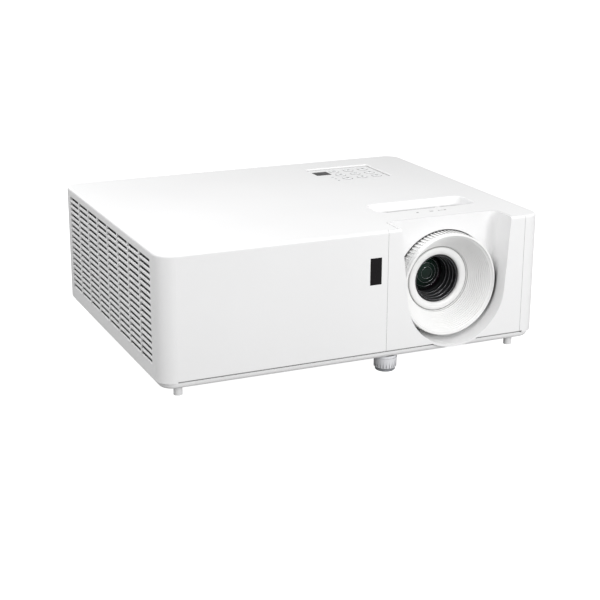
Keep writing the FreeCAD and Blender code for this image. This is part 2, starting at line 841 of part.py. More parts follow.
def scoop_sketch(body, name, grow, rise, offset):
    """The scoop's U: two leaning walls that run into a round bottom."""
    sketch = new_sketch(body, name, "XZ_Plane", offset)
    lens_x = SIZES["case_width"] / 2 - SIZES["lens_inset"]
    top_z = SIZES["top_level"]
    left_x, right_x = lens_x - SIZES["scoop_to_left"], lens_x + SIZES["scoop_to_right"]
    radius = SIZES["scoop_radius"]
    centre, right_angle = tangent_spot(right_x, top_z, 1)
    left_angle = tangent_spot(left_x, top_z, -1)[1]
    middle_spot = Vector(centre[0], centre[1], 0)
    right_foot = middle_spot + Vector(math.cos(right_angle), math.sin(right_angle), 0) * radius
    left_foot = middle_spot + Vector(math.cos(left_angle), math.sin(left_angle), 0) * radius
    left_top, right_top = Vector(left_x, top_z, 0), Vector(right_x, top_z, 0)
    sketch.addGeometry(Part.LineSegment(left_top, left_foot))
    circle = Part.Circle(middle_spot, Vector(0, 0, 1), radius)
    sketch.addGeometry(Part.ArcOfCircle(circle, left_angle % math.tau, right_angle % math.tau + math.tau))
    sketch.addGeometry(Part.LineSegment(right_foot, right_top))
    sketch.addGeometry(Part.LineSegment(right_top, left_top))
    sketch.addConstraint(Sketcher.Constraint("Tangent", 0, 2, 1, 1))
    sketch.addConstraint(Sketcher.Constraint("Tangent", 1, 2, 2, 1))
    sketch.addConstraint(Sketcher.Constraint("Coincident", 2, 2, 3, 1))
    sketch.addConstraint(Sketcher.Constraint("Coincident", 3, 2, 0, 1))
    fix_point(sketch, 0, 1, (f"{LENS_X} - scoop_to_left - ({grow})", f"top_level + ({rise})"))
    fix_point(sketch, 3, 1, (f"{LENS_X} + scoop_to_right + ({grow})", f"top_level + ({rise})"))
    fix_point(sketch, 1, 3, (SCOOP_X, SCOOP_Z))
    size = sketch.addConstraint(Sketcher.Constraint("Radius", 1, radius))
    sketch.setExpression(f"Constraints[{size}]", bound(f"scoop_radius + ({grow})"))
    return sketch


def make_lens_panel():
    """The front panel round the lens: a flat plate with the U-shaped scoop sunk into it."""
    body = new_body("lens_panel")
    plate = new_sketch(body, "plate_outline", "XZ_Plane", f"-{FRONT}")
    draw_rectangle(
        plate, (f"{LENS_X} - panel_to_left + trim_gap", f"{LENS_X} + panel_to_right - trim_gap"),
        ("seam_level", "top_level"),
    )
    pad(body, "plate", plate, "panel_wall", True)
    outer = scoop_sketch(body, "scoop_outside", "scoop_wall", "0", f"-{FRONT}")
    pad(body, "scoop_shell", outer, "scoop_depth + scoop_wall", True)
    top, front = SIZES["top_level"], -SIZES["case_depth"] / 2
    back = body.Shape.BoundBox.YMax
    round_edges(
        body, "shell_round", "scoop_fillet",
        lambda edge: abs(middle(edge).y - back) < 1e-6 and middle(edge).z < top - PAST,
    )
    inner = scoop_sketch(body, "scoop_inside", "0", str(PAST), f"-({FRONT} - {PAST})")
    pocket(body, "scoop_hollow", inner, f"scoop_depth + {PAST}")
    floor = front + SIZES["scoop_depth"]
    round_edges(
        body, "scoop_corner", "scoop_fillet",
        lambda edge: abs(middle(edge).y - floor) < 1e-6 and middle(edge).z < top - PAST,
    )
    round_edges(
        body, "panel_top_round", "top_edge_radius",
        lambda edge: abs(middle(edge).z - top) < 1e-6 and abs(middle(edge).y - front) < 1e-6,
    )
    hole = new_sketch(body, "ring_hole_outline", "XZ_Plane", f"-({FRONT} + ring_front)")
    draw_circle(hole, (LENS_X, LENS_Z), "ring_radius + knurl_height + ring_gap")
    pocket(body, "ring_hole", hole, "scoop_depth + scoop_wall")
    return node(body, "lens_panel")


def make_case_panels():
    """Panels that fill the cover's openings."""
    body = new_body("exhaust_panel")
    gap = "trim_gap"
    pad_box(
        body, "exhaust_plate", ("case_width / 2 - grille_wall", "case_width / 2"),
        (f"{FRONT} + exhaust_start + {gap}", f"{REAR} - exhaust_end - {gap}"),
        (f"{EXHAUST_Z[0]} + {gap}", f"{EXHAUST_Z[1]} - {gap}"),
    )
    start, end = f"{FRONT} + exhaust_start + exhaust_frame", f"{REAR} - exhaust_end - exhaust_frame"
    pitch = f"((({end}) - ({start}) + column_bar) / exhaust_columns)"
    cut_louvres(body, "exhaust", 1, (start, end), "exhaust_columns - 1", pitch)
    node(body, "exhaust_panel")

    window_x = (f"{LENS_X} - window_to_left", f"{LENS_X} - window_to_right")
    window_z = ("top_level - window_low", "top_level - window_high")
    face = block(
        "window_face", (f"{window_x[0]} + {gap}", f"{window_x[1]} - {gap}"), (FRONT, f"{FRONT} + wall"),
        (f"{window_z[0]} + {gap}", f"{window_z[1]} - {gap}"),
    )
    flange = block(
        "window_rim", (f"{window_x[0]} - window_flange", f"{window_x[1]} + window_flange"),
        (f"{FRONT} + wall", f"{FRONT} + wall + window_flange"),
        (f"{window_z[0]} - window_flange", f"{window_z[1]} + window_flange"),
    )
    node(fuse("front_ir_window", face, flange), "front_ir_window")


# --- keypad --------------------------------------------------------------------------------

KEY_COLUMNS = ("-key_step_x + key_shift", "key_shift", "key_step_x + key_shift")
KEY_ROWS = ("-key_step_y", "0", "key_step_y")
KEY_NAMES = (
    ("menu_button", "down_button", "resync_button"),
    ("left_button", "enter_button", "right_button"),
    ("power_button", "up_button", "source_button"),
)
KEYPAD_MIDDLE = f"({REAR} - (keypad_front + keypad_back) / 2)"
BEZEL_LOW = "(top_level - roof - bezel_plate)"
BOARD_TOP = "(top_level - key_board_drop + board_thickness)"


def key_places():
    for row, names in zip(KEY_ROWS, KEY_NAMES):
        for column, name in zip(KEY_COLUMNS, names):
            yield name, f"({LENS_X} + {column})", f"({KEYPAD_MIDDLE} + {row})"


def light_places():
    for column in ("-1", "0", "1"):
        yield f"({LENS_X} - light_shift)", f"({KEYPAD_MIDDLE} - light_back + light_step * {column})"


def make_keypad():
    """The sunk keypad plate, its keys, its status lights, its window and its board."""
    gap = "trim_gap"
    body = new_body("keypad_bezel")
    x = (f"{LENS_X} - keypad_half", f"{LENS_X} + keypad_half")
    pad_box(
        body, "bezel_flange", (f"{x[0]} - bezel_flange", f"{x[1]} + bezel_flange"),
        (f"{KEYPAD_Y[0]} - bezel_flange", f"{KEYPAD_Y[1]} + bezel_flange"), (BEZEL_LOW, "top_level - roof"),
    )
    pad_box(
        body, "bezel_face", (f"{x[0]} + {gap}", f"{x[1]} - {gap}"),
        (f"{KEYPAD_Y[0]} + {gap}", f"{KEYPAD_Y[1]} - {gap}"), ("top_level - roof", BEZEL_TOP),
        f"keypad_radius - {gap}",
    )
    through = (f"{BEZEL_LOW} - {PAST}", f"top_level + {PAST}")
    for name, key_x, key_y in key_places():
        cut_rod(body, name + "_hole", (key_x, key_y), "key_radius + key_gap", through)
    for index, point in enumerate(light_places()):
        cut_rod(body, f"light_hole_{index}", point, "light_radius + running_gap", through)
    sensor_x = (f"{LENS_X} - sensor_to_left", f"{LENS_X} - sensor_to_right")
    sensor_y = (f"{KEYPAD_MIDDLE} + sensor_low", f"{KEYPAD_MIDDLE} + sensor_high")
    cut_box(body, "sensor_hole", sensor_x, sensor_y, through, "key_gap")
    node(body, "keypad_bezel")

    window = block(
        "sensor_face", (f"{sensor_x[0]} + {gap}", f"{sensor_x[1]} - {gap}"),
        (f"{sensor_y[0]} + {gap}", f"{sensor_y[1]} - {gap}"), (BEZEL_LOW, f"{BEZEL_TOP} + {gap}"),
    )
    rim = block(
        "sensor_rim", (f"{sensor_x[0]} - window_flange", f"{sensor_x[1]} + window_flange"),
        (f"{sensor_y[0]} - window_flange", f"{sensor_y[1]} + window_flange"),
        (f"{BEZEL_LOW} - window_flange", BEZEL_LOW),
    )
    node(fuse("top_ir_window", window, rim), "top_ir_window")

    for name, key_x, key_y in key_places():
        make_key(name, key_x, key_y)
    pipes = [
        rod(f"light_pipe_{index}", "light_radius", f"{BEZEL_TOP} - {BOARD_TOP}", (pipe_x, pipe_y, BOARD_TOP))
        for index, (pipe_x, pipe_y) in enumerate(light_places())
    ]
    node(group("status_lights", *pipes), "status_lights")
    board = block(
        "keypad_board_plate", (f"{x[0]} - board_margin", f"{x[1]} + board_margin"),
        (f"{KEYPAD_Y[0]} - board_margin", f"{KEYPAD_Y[1]} + board_margin"),
        ("top_level - key_board_drop", BOARD_TOP),
    )
    domes = [
        rod(name + "_switch", "switch_radius", "switch_height", (key_x, key_y, BOARD_TOP))
        for name, key_x, key_y in key_places()
    ]
    node(group("keypad_board", board, *domes), "keypad_board")


def make_key(name, key_x, key_y):
    """A round key: crowned cap, hidden flange and the stem over its switch."""
    rest = f"({BOARD_TOP} + switch_height + key_travel + key_gap)"
    flange = (f"{BEZEL_LOW} - key_gap - key_flange", f"{BEZEL_LOW} - key_gap")
    cap = f"({BEZEL_TOP} + key_proud)"
    profile = [
        ("0", rest), ("switch_radius", rest), ("switch_radius", flange[0]),
        ("key_radius + key_flange", flange[0]),
        ("key_radius + key_flange", flange[1]), ("key_radius", flange[1]),
        ("key_radius", f"{cap} - key_bevel"),
        ("key_radius - key_bevel", cap), ("key_dish_radius", f"{cap} - key_dish"),
        ("0", f"{cap} - key_dish"),
    ]
    node(turned(name, profile, (key_x, key_y, "0"), UP), name)


# --- lens ----------------------------------------------------------------------------------

LENS_AT = (LENS_X, "0", LENS_Z)
BARREL_BORE = "(barrel_radius - barrel_wall)"


def depth(text):
    """A place along Y counted back from the front face."""
    return f"({FRONT} + {text})"


def make_focus_ring():
    """The large white ring: knurled skirt, grooved cone, round hub and a sleeve on the barrel."""
    rim = depth("ring_front")
    throat = f"({rim} + cone_depth)"
    mouth = "(ring_radius - ring_rim)"
    bore = "(barrel_radius + running_gap)"
    sleeve = "(barrel_radius + sleeve_wall)"
    neck = "(barrel_radius + throat_gap)"
    lip = depth("barrel_front - trim_depth - hub_gap")
    drop = f"(({mouth} - {neck}) / cone_depth)"
    skirt_inside = "(ring_radius - ring_wall)"
    back_of_cone = f"({mouth} + cone_wall - {skirt_inside}) / {drop}"
    profile = [
        (mouth, rim),
        ("ring_radius - rim_round", rim),
        ("ring_radius", f"{rim} + rim_round"),
        ("ring_radius", f"{rim} + ring_skirt"),
        (skirt_inside, f"{rim} + ring_skirt"),
        (skirt_inside, f"{rim} + {back_of_cone}"),
        (sleeve, f"{rim} + ({mouth} + cone_wall - {sleeve}) / {drop}"),
        (sleeve, f"{throat} + sleeve_length"),
        (bore, f"{throat} + sleeve_length"),
        (bore, lip),
        ("hub_opening", lip),
    ]
    crest = 8
    for step in range(crest):
        turn = math.pi * (1 - step / crest)
        profile.append((
            f"({neck} + hub_opening) / 2 + ({neck} - hub_opening) / 2 * {math.cos(turn):.5f}",
            f"{throat} - hub_rise * {math.sin(turn):.5f}",
        ))
    grooves = int(SIZES["groove_count"])
    for step in range(grooves, 0, -1):
        radius = f"{mouth} - ({mouth} - {neck}) * {step} / groove_count"
        profile.append((radius, f"{rim} + cone_depth * {step} / groove_count"))
        if step > 1:
            profile.append((radius, f"{rim} + cone_depth * ({step} - groove_share) / groove_count"))
    body = turned("focus_ring", profile, LENS_AT, BACK)
    rib = new_sketch(body, "rib_outline", "XY_Plane", f"{rim} + ring_skirt - knurl_length")
    draw_rectangle(
        rib, ("ring_radius - ring_wall / 2", "ring_radius + knurl_height"),
        ("-knurl_width / 2", "knurl_width / 2"),
    )
    first = pad(body, "rib", rib, "knurl_length")
    polar_pattern(body, "ribs", first, "Z_Axis", "knurl_count")
    node(body, "focus_ring")


def glass(name, radius, front, thickness, bulge):
    """A lens blank whose front face is a shallow dome of short facets."""
    steps = 8
    profile = [
        ("0", f"{front} + {thickness}"), (radius, f"{front} + {thickness}"), (radius, f"{front} + {bulge}"),
    ]
    for step in range(1, steps):
        share = step / steps
        profile.append((f"{radius} * {1 - share}", f"{front} + {bulge} * {(1 - share) ** 2:.4f}"))
    profile.append(("0", front))
    return node(turned(name, profile, LENS_AT, BACK), name)


def make_lens():
    gap = "running_gap"
    start, end = depth("barrel_front"), depth("barrel_front + barrel_length")
    node(turned("lens_barrel", [
        (BARREL_BORE, start), ("barrel_radius", start), ("barrel_radius", f"{end} - flange_thickness"),
        ("flange_radius", f"{end} - flange_thickness"), ("flange_radius", end), (BARREL_BORE, end),
    ], LENS_AT, BACK), "lens_barrel")
    front = f"({start} - trim_depth)"
    node(turned("lens_trim_ring", [
        ("trim_opening", f"{front} + trim_bevel / 2"), ("trim_opening + rim_round", front),
        ("barrel_radius - trim_bevel", front),
        ("barrel_radius - trim_bevel / 4", f"{front} + trim_bevel / 4"),
        ("barrel_radius", f"{front} + trim_bevel"), ("barrel_radius", start), ("trim_opening", start),
    ], LENS_AT, BACK), "lens_trim_ring")
    make_focus_ring()

    nose = depth("cell_front")
    shoulder = f"({nose} + cell_nose)"
    tail = f"({shoulder} + cell_length)"
    steps = int(SIZES["cell_steps"])
    seat = depth("front_glass_depth")
    profile = [
        ("cell_opening", nose), ("trim_opening - cell_gap", nose), ("trim_opening - cell_gap", shoulder),
        (f"{BARREL_BORE} - {gap}", shoulder), (f"{BARREL_BORE} - {gap}", tail),
        ("front_glass_radius", tail), ("front_glass_radius", seat),
    ]
    for step in range(steps, 0, -1):
        radius = f"cell_opening - cell_step * {step}"
        profile.append((radius, f"{nose} + ({seat} - {nose}) * {step + 1} / (cell_steps + 1)"))
        profile.append((radius, f"{nose} + ({seat} - {nose}) * {step} / (cell_steps + 1)"))
    profile.append(("cell_opening", f"{nose} + ({seat} - {nose}) / (cell_steps + 1)"))
    node(turned("front_lens_cell", profile, LENS_AT, BACK), "front_lens_cell")
    glass("front_lens", f"front_glass_radius - {gap}", seat, "glass_edge + glass_bulge", "glass_bulge")

    cell = depth("variator_front")
    node(turned("variator_cell", [
        ("variator_glass_radius", cell), (f"{BARREL_BORE} - {gap}", cell),
        (f"{BARREL_BORE} - {gap}", f"{cell} + variator_length"),
        ("variator_glass_radius", f"{cell} + variator_length"),
    ], LENS_AT, BACK), "variator_cell")
    glass(
        "variator_lens", f"variator_glass_radius - {gap}", f"({cell} + glass_edge)",
        "glass_edge + glass_bulge", "glass_bulge",
    )
    glass("rear_lens", f"{BARREL_BORE} - {gap}", depth("rear_lens_front"), "rear_lens_length", "glass_bulge")
    make_zoom_ring()


def make_zoom_ring():
    """The ring that the zoom lever turns, with the lever standing up into the roof's pocket."""
    body = new_body("zoom_ring", LENS_AT, Rotation(Vector(0, 1, 0), SIZES["lever_rest"]))
    bind(body, **{"Placement.Rotation.Angle": "lever_rest"})
    ring = new_sketch(body, "ring_outline", "XZ_Plane", f"-({depth('zoom_ring_front')})")
    draw_circle(ring, ("0", "0"), "barrel_radius + running_gap + zoom_ring_wall")
    draw_circle(ring, ("0", "0"), "barrel_radius + running_gap")
    pad(body, "ring", ring, "zoom_ring_length", True)
    middle_y = depth("zoom_ring_front + zoom_ring_length / 2")
    pad_box(
        body, "lever", ("-lever_width / 2", "lever_width / 2"),
        (f"{middle_y} - lever_depth / 2", f"{middle_y} + lever_depth / 2"),
        ("barrel_radius + zoom_ring_wall / 2", "lever_reach"),
    )
    reach = SIZES["lever_reach"]
    round_edges(body, "lever_round", "2 * rim_round", lambda edge: abs(middle(edge).z - reach) < 1e-6)
    node(body, "zoom_ring")


# --- optical engine ------------------------------------------------------------------------


def fins(name, x, y, z, count):
    """Evenly spaced plates: their thickness runs along X."""
    pitch = f"((({x[1]}) - ({x[0]}) - fin_thickness) / ({count} - 1))"
    number = int(SIZES[count])
    return [
        block(f"{name}_{i}", (f"{x[0]} + {pitch} * {i}", f"{x[0]} + {pitch} * {i} + fin_thickness"), y, z)
        for i in range(number)
    ]


def make_engine():
    x = (f"({LENS_X} - engine_half)", f"({LENS_X} + engine_half)")
    y = (depth("engine_front"), depth("engine_front + engine_depth"))
    z = ("engine_low", "engine_high")
    shell = block("engine_block", x, y, z)
    hollow = block(
        "engine_hollow", (f"{x[0]} + engine_wall", f"{x[1]} - engine_wall"),
        (f"{y[0]} + engine_wall", f"{y[1]} - engine_wall"), (f"{z[0]} + engine_wall", f"{z[1]} + {PAST}"),
    )
    window = rod(
        "engine_light_hole", "engine_window", f"2 * {PAST} + engine_wall",
        (LENS_X, f"{y[0]} - {PAST}", LENS_Z), BACK,
    )
    chip = block(
        "chip_window", (f"{LENS_X} - contact_half", f"{LENS_X} + contact_half"),
        (f"{y[1]} - engine_wall - {PAST}", f"{y[1]} + {PAST}"),
        (f"{LENS_Z} - contact_half", f"{LENS_Z} + contact_half"),
    )
    tunnel_y = depth("engine_front + tunnel_setback")
    gate = "(tunnel_width / 2 + running_gap)"
    tunnel_hole = block(
        "tunnel_hole", (f"{x[0]} - {PAST}", f"{x[0]} + engine_wall + {PAST}"),
        (f"{tunnel_y} - {gate}", f"{tunnel_y} + {gate}"), (f"{LENS_Z} - {gate}", f"{LENS_Z} + {gate}"),
    )
    node(cut("engine_housing", shell, hollow, window, chip, tunnel_hole), "engine_housing")
    node(block("engine_lid", x, y, (z[1], f"{z[1]} + lid_thickness")), "engine_lid")

    half = "tunnel_width / 2"
    tunnel_x = (f"{x[0]} + tunnel_inside - tunnel_length", f"{x[0]} + tunnel_inside")
    outer = block(
        "tunnel_outside", tunnel_x, (f"{tunnel_y} - {half}", f"{tunnel_y} + {half}"),
        (f"{LENS_Z} - {half}", f"{LENS_Z} + {half}"),
    )
    bore = "tunnel_bore / 2"
    inner = block(
        "tunnel_inside_space", (f"{tunnel_x[0]} - {PAST}", f"{tunnel_x[1]} + {PAST}"),
        (f"{tunnel_y} - {bore}", f"{tunnel_y} + {bore}"), (f"{LENS_Z} - {bore}", f"{LENS_Z} + {bore}"),
    )
    tunnel = cut("light_tunnel", outer, inner)
    relay = rod(
        "relay_glass", "relay_radius", "relay_thickness", (f"{x[0]} + relay_setback", tunnel_y, LENS_Z),
        RIGHT,
    )
    size = "mirror_size / 2"
    mirror = block(
        "fold_mirror", (f"{x[1]} - mirror_setback - mirror_thickness", f"{x[1]} - mirror_setback"),
        (f"{tunnel_y} - {size}", f"{tunnel_y} + {size}"), (f"{LENS_Z} - {size}", f"{LENS_Z} + {size}"),
    )
    node(group("relay_optics", tunnel, relay, mirror), "relay_optics")

    board_y = (y[1], f"{y[1]} + board_thickness")
    board = block(
        "chip_board", (f"{LENS_X} - chip_board_half", f"{LENS_X} + chip_board_half"), board_y,
        (f"{LENS_Z} - chip_board_half", f"{LENS_Z} + chip_board_half"),
    )
    node(board, "imaging_board")
    contact = block(
        "sink_contact", (f"{LENS_X} - contact_half", f"{LENS_X} + contact_half"),
        (board_y[1], f"{board_y[1]} + contact_height"),
        (f"{LENS_Z} - contact_half", f"{LENS_Z} + contact_half"),
    )
    plate_y = (f"{board_y[1]} + contact_height", f"{board_y[1]} + contact_height + sink_base")
    sink_x = (f"{LENS_X} - sink_half", f"{LENS_X} + sink_half")
    plate = block("sink_plate", sink_x, plate_y, ("sink_low", "sink_high"))
    plates = fins(
        "sink_fin", sink_x, (plate_y[1], f"{plate_y[1]} + sink_depth"), ("sink_low", "sink_high"),
        "fin_count",
    )
    node(fuse("imaging_heat_sink", contact, plate, *plates), "imaging_heat_sink")
    make_wheels(tunnel_y)
    make_laser()


def wheel(name, radius, at, turn):
    """A thin disc on its hub, bored for the shaft of the motor behind it, which is returned."""
    node(turned(name, [
        ("motor_shaft + running_gap", "0"), (radius, "0"), (radius, "wheel_thickness"),
        ("wheel_hub", "wheel_thickness"),
        ("wheel_hub", "wheel_thickness + wheel_hub_length"),
        ("motor_shaft + running_gap", "wheel_thickness + wheel_hub_length"),
    ], at, turn), name)
    low = "wheel_thickness + wheel_hub_length + motor_gap"
    return turned(name + "_motor", [
        ("0", "0"), ("motor_shaft", "0"), ("motor_shaft", low), ("motor_radius", low),
        ("motor_radius", f"{low} + motor_length"), ("0", f"{low} + motor_length"),
    ], at, turn)


def make_wheels(tunnel_y):
    behind = wheel(
        "phosphor_wheel", "phosphor_radius", (f"{LENS_X} - phosphor_to_lens", tunnel_y, LENS_Z), BACK,
    )
    colour_at = (f"{LENS_X} - colour_to_lens", tunnel_y, f"{LENS_Z} - colour_drop")
    beside = wheel("colour_wheel", "colour_radius", colour_at, RIGHT)
    node(group("wheel_motors", behind, beside), "wheel_motors")


def make_laser():
    """Laser bank, the finned block that cools it and the heat pipes between them."""
    right = f"({LENS_X} - laser_to_lens)"
    x = (f"{right} - laser_width", right)
    y = (depth("laser_setback"), depth("laser_setback + laser_depth"))
    z = (f"({LENS_Z} - laser_height / 2)", f"({LENS_Z} + laser_height / 2)")
    sink_x = (f"{x[0]} - laser_sink_gap - laser_sink_length", f"{x[0]} - laser_sink_gap")
    middle_y = f"({y[0]} + laser_depth / 2)"
    heights = [f"({LENS_Z} + pipe_spacing * {i - 1})" for i in range(int(SIZES["pipe_count"]))]
    reach = "laser_sink_length + laser_sink_gap + laser_width / 2"

    def pipes(label, radius):
        return [
            rod(f"{label}_{i}", radius, reach, (sink_x[0], middle_y, level), RIGHT)
            for i, level in enumerate(heights)
        ]

    node(
        cut("laser_module", block("laser_block", x, y, z), *pipes("laser_bore", "pipe_radius + running_gap")),
        "laser_module",
    )
    plates = fins("laser_fin", sink_x, y, ("laser_sink_low", "laser_sink_high"), "laser_fin_count")
    drilled = cut(
        "laser_heat_sink", group("laser_fins", *plates), *pipes("fin_bore", "pipe_radius + running_gap"),
    )
    node(drilled, "laser_heat_sink")
    node(group("heat_pipes", *pipes("heat_pipe", "pipe_radius")), "heat_pipes")


# --- boards, connectors and power ----------------------------------------------------------

PORTS = (
    # name, place along X from the board's left edge, width, height over the board
    ("serial_port", "24", "30", "12"),
    ("display_port", "62", "30", "12"),
    ("video_port_a", "92", "17", "7.5"),
    ("video_port_b", "115", "17", "7.5"),
    ("usb_port", "138", "14.5", "8"),
    ("network_port", "160", "16", "13.5"),
)
BOARD_X = ("(-case_width / 2 + mainboard_left)", "(case_width / 2 - mainboard_right)")
MAIN_TOP = "(mainboard_level + board_thickness)"
PANEL_Y = (
    f"({REAR} - rear_panel_recess - rear_panel_thickness)", f"({REAR} - rear_panel_recess)",
)
INLET_X = ("(case_width / 2 - inlet_to_right - inlet_width)", "(case_width / 2 - inlet_to_right)")
INLET_Z = ("inlet_low", "(inlet_low + inlet_height)")
# Places along X from the board's left edge.
JACKS = ("4.5", "196")


def port_span(place, width):
    return f"({BOARD_X[0]} + {place} - {width} / 2)", f"({BOARD_X[0]} + {place} + {width} / 2)"


def make_ports():
    """Signal sockets along the mainboard's rear edge, open to the back."""
    made = {}
    for name, place, width, height in PORTS:
        x = port_span(place, width)
        z = (MAIN_TOP, f"({MAIN_TOP} + {height})")
        y = (f"{REAR} - port_depth", f"{PANEL_Y[1]} + port_proud")
        shell = block(name + "_shell", x, y, z)
        space = block(
            name + "_space", (f"{x[0]} + port_shell", f"{x[1]} - port_shell"),
            (f"{y[0]} + port_depth / 4", f"{y[1]} + {PAST}"),
            (f"{z[0]} + port_shell", f"{z[1]} - port_shell"),
        )
        tongue = block(
            name + "_tongue", (f"{x[0]} + {width} / 4", f"{x[1]} - {width} / 4"),
            (f"{y[0]} + port_depth / 8", f"{y[1]} - port_depth / 8"),
            (f"({z[0]} + {z[1]}) / 2 - port_shell", f"({z[0]} + {z[1]}) / 2 + port_shell"),
        )
        made[name] = fuse(name + "_body", cut(name + "_socket", shell, space), tongue)
    sockets = []
    for index, place in enumerate(JACKS):
        at = (f"{BOARD_X[0]} + {place}", f"{REAR} - port_depth", f"{MAIN_TOP} + jack_radius")
        barrel = rod(f"jack_{index}", "jack_radius", f"port_depth - rear_panel_recess + port_proud", at, BACK)
        hole = rod(
            f"jack_hole_{index}", "jack_bore", "port_depth", (at[0], f"{at[1]} + port_depth / 4", at[2]),
            BACK,
        )
        sockets.append(cut(f"jack_socket_{index}", barrel, hole))
    node(group("audio_jacks", *sockets), "audio_jacks")
    node(group("pin_ports", made["serial_port"], made["display_port"]), "pin_ports")
    node(group("video_ports", made["video_port_a"], made["video_port_b"]), "video_ports")
    node(group("data_ports", made["usb_port"], made["network_port"]), "data_ports")


def make_rear_panel():
    gap = "trim_gap"
    plate = block(
        "rear_plate", (f"{LEFT} + rear_panel_inset + {gap}", f"{RIGHT_SIDE} - rear_panel_inset - {gap}"),
        PANEL_Y,
        (f"rear_panel_low + {gap}", f"rear_panel_high - {gap}"),
    )
    through = (f"{PANEL_Y[0]} - {PAST}", f"{PANEL_Y[1]} + {PAST}")
    holes = []
    for name, place, width, height in PORTS:
        x = port_span(place, width)
        holes.append(block(
            name + "_opening", (f"{x[0]} - port_gap", f"{x[1]} + port_gap"), through,
            (f"{MAIN_TOP} - port_gap", f"{MAIN_TOP} + {height} + port_gap"),
        ))
    for index, place in enumerate(JACKS):
        at = (f"{BOARD_X[0]} + {place}", through[0], f"{MAIN_TOP} + jack_radius")
        holes.append(
            rod(f"jack_opening_{index}", "jack_radius + port_gap", "3 * rear_panel_thickness", at, BACK)
        )
    holes.append(block(
        "inlet_opening", (f"{INLET_X[0]} - port_gap", f"{INLET_X[1]} + port_gap"), through,
        (f"{INLET_Z[0]} - port_gap", f"{INLET_Z[1]} + port_gap"),
    ))
    node(cut("rear_panel", plate, *holes), "rear_panel")


def make_inlet():
    """The three-pole mains inlet: a socket with its blades."""
    y = (f"{REAR} - inlet_depth", f"{PANEL_Y[1]} + port_proud")
    middle_x = f"({INLET_X[0]} + inlet_width / 2)"
    middle_z = f"({INLET_Z[0]} + inlet_height / 2)"
    shell = block("inlet_shell", INLET_X, y, INLET_Z)
    half_x, half_z = "inlet_socket_width / 2", "inlet_socket_height / 2"
    floor = f"({y[1]} - inlet_socket_depth)"
    socket = block(
        "inlet_socket", (f"{middle_x} - {half_x}", f"{middle_x} + {half_x}"), (floor, f"{y[1]} + {PAST}"),
        (f"{middle_z} - {half_z}", f"{middle_z} + {half_z}"),
    )
    node(cut("mains_inlet", shell, socket), "mains_inlet")
    blades = []
    for index, (across, rise) in enumerate((("-1", "-0.45"), ("0", "0.1"), ("1", "-0.45"))):
        x, z = f"({middle_x} + {across} * blade_spacing)", f"({middle_z} + {rise} * blade_spacing)"
        blades.append(block(
            f"inlet_blade_{index}", (f"{x} - blade_thickness / 2", f"{x} + blade_thickness / 2"),
            (floor, f"{y[1]} - inlet_socket_depth / 5"), (f"{z} - blade_width / 2", f"{z} + blade_width / 2"),
        ))
    node(group("inlet_blades", *blades), "inlet_blades")


def make_boards():
    y = (f"{REAR} - mainboard_front", f"{REAR} - mainboard_back")
    pieces = [block("mainboard_plate", BOARD_X, y, ("mainboard_level", MAIN_TOP))]
    for index in range(int(SIZES["chip_count"])):
        chip_x = f"({BOARD_X[0]} + chip_start + chip_step * {index})"
        pieces.append(block(
            f"chip_{index}", (chip_x, f"{chip_x} + chip_size"),
            (f"{y[0]} + chip_margin", f"{y[0]} + chip_margin + chip_size"),
            (MAIN_TOP, f"{MAIN_TOP} + chip_height"),
        ))
    node(group("mainboard", *pieces), "mainboard")
    x = (f"({LEFT} + supply_left)", f"({LEFT} + supply_left + supply_width)")
    y = (depth("supply_front"), depth("supply_front + supply_depth"))
    top = "(supply_level + board_thickness)"
    middle_y = f"({y[0]} + supply_depth / 2)"
    pieces = [
        block("power_plate", x, y, ("supply_level", top)),
        block(
            "transformer", (f"{x[1]} - supply_margin - transformer_width", f"{x[1]} - supply_margin"),
            (f"{middle_y} - transformer_width / 2", f"{middle_y} + transformer_width / 2"),
            (top, f"{top} + transformer_height"),
        ),
        block(
            "line_filter", (f"{x[0]} + supply_margin", f"{x[0]} + supply_margin + filter_coil"),
            (f"{middle_y} - filter_coil / 2", f"{middle_y} + filter_coil / 2"), (top, f"{top} + filter_coil"),
        ),
    ]
    for index, step in enumerate((-1, 0, 1)):
        pieces.append(rod(
            f"capacitor_{index}", "capacitor_radius", "capacitor_height",
            (f"{x[0]} + supply_width / 2", f"{middle_y} + capacitor_step * {step}", top),
        ))
    node(group("power_supply", *pieces), "power_supply")


# --- fans, filter and speaker --------------------------------------------------------------


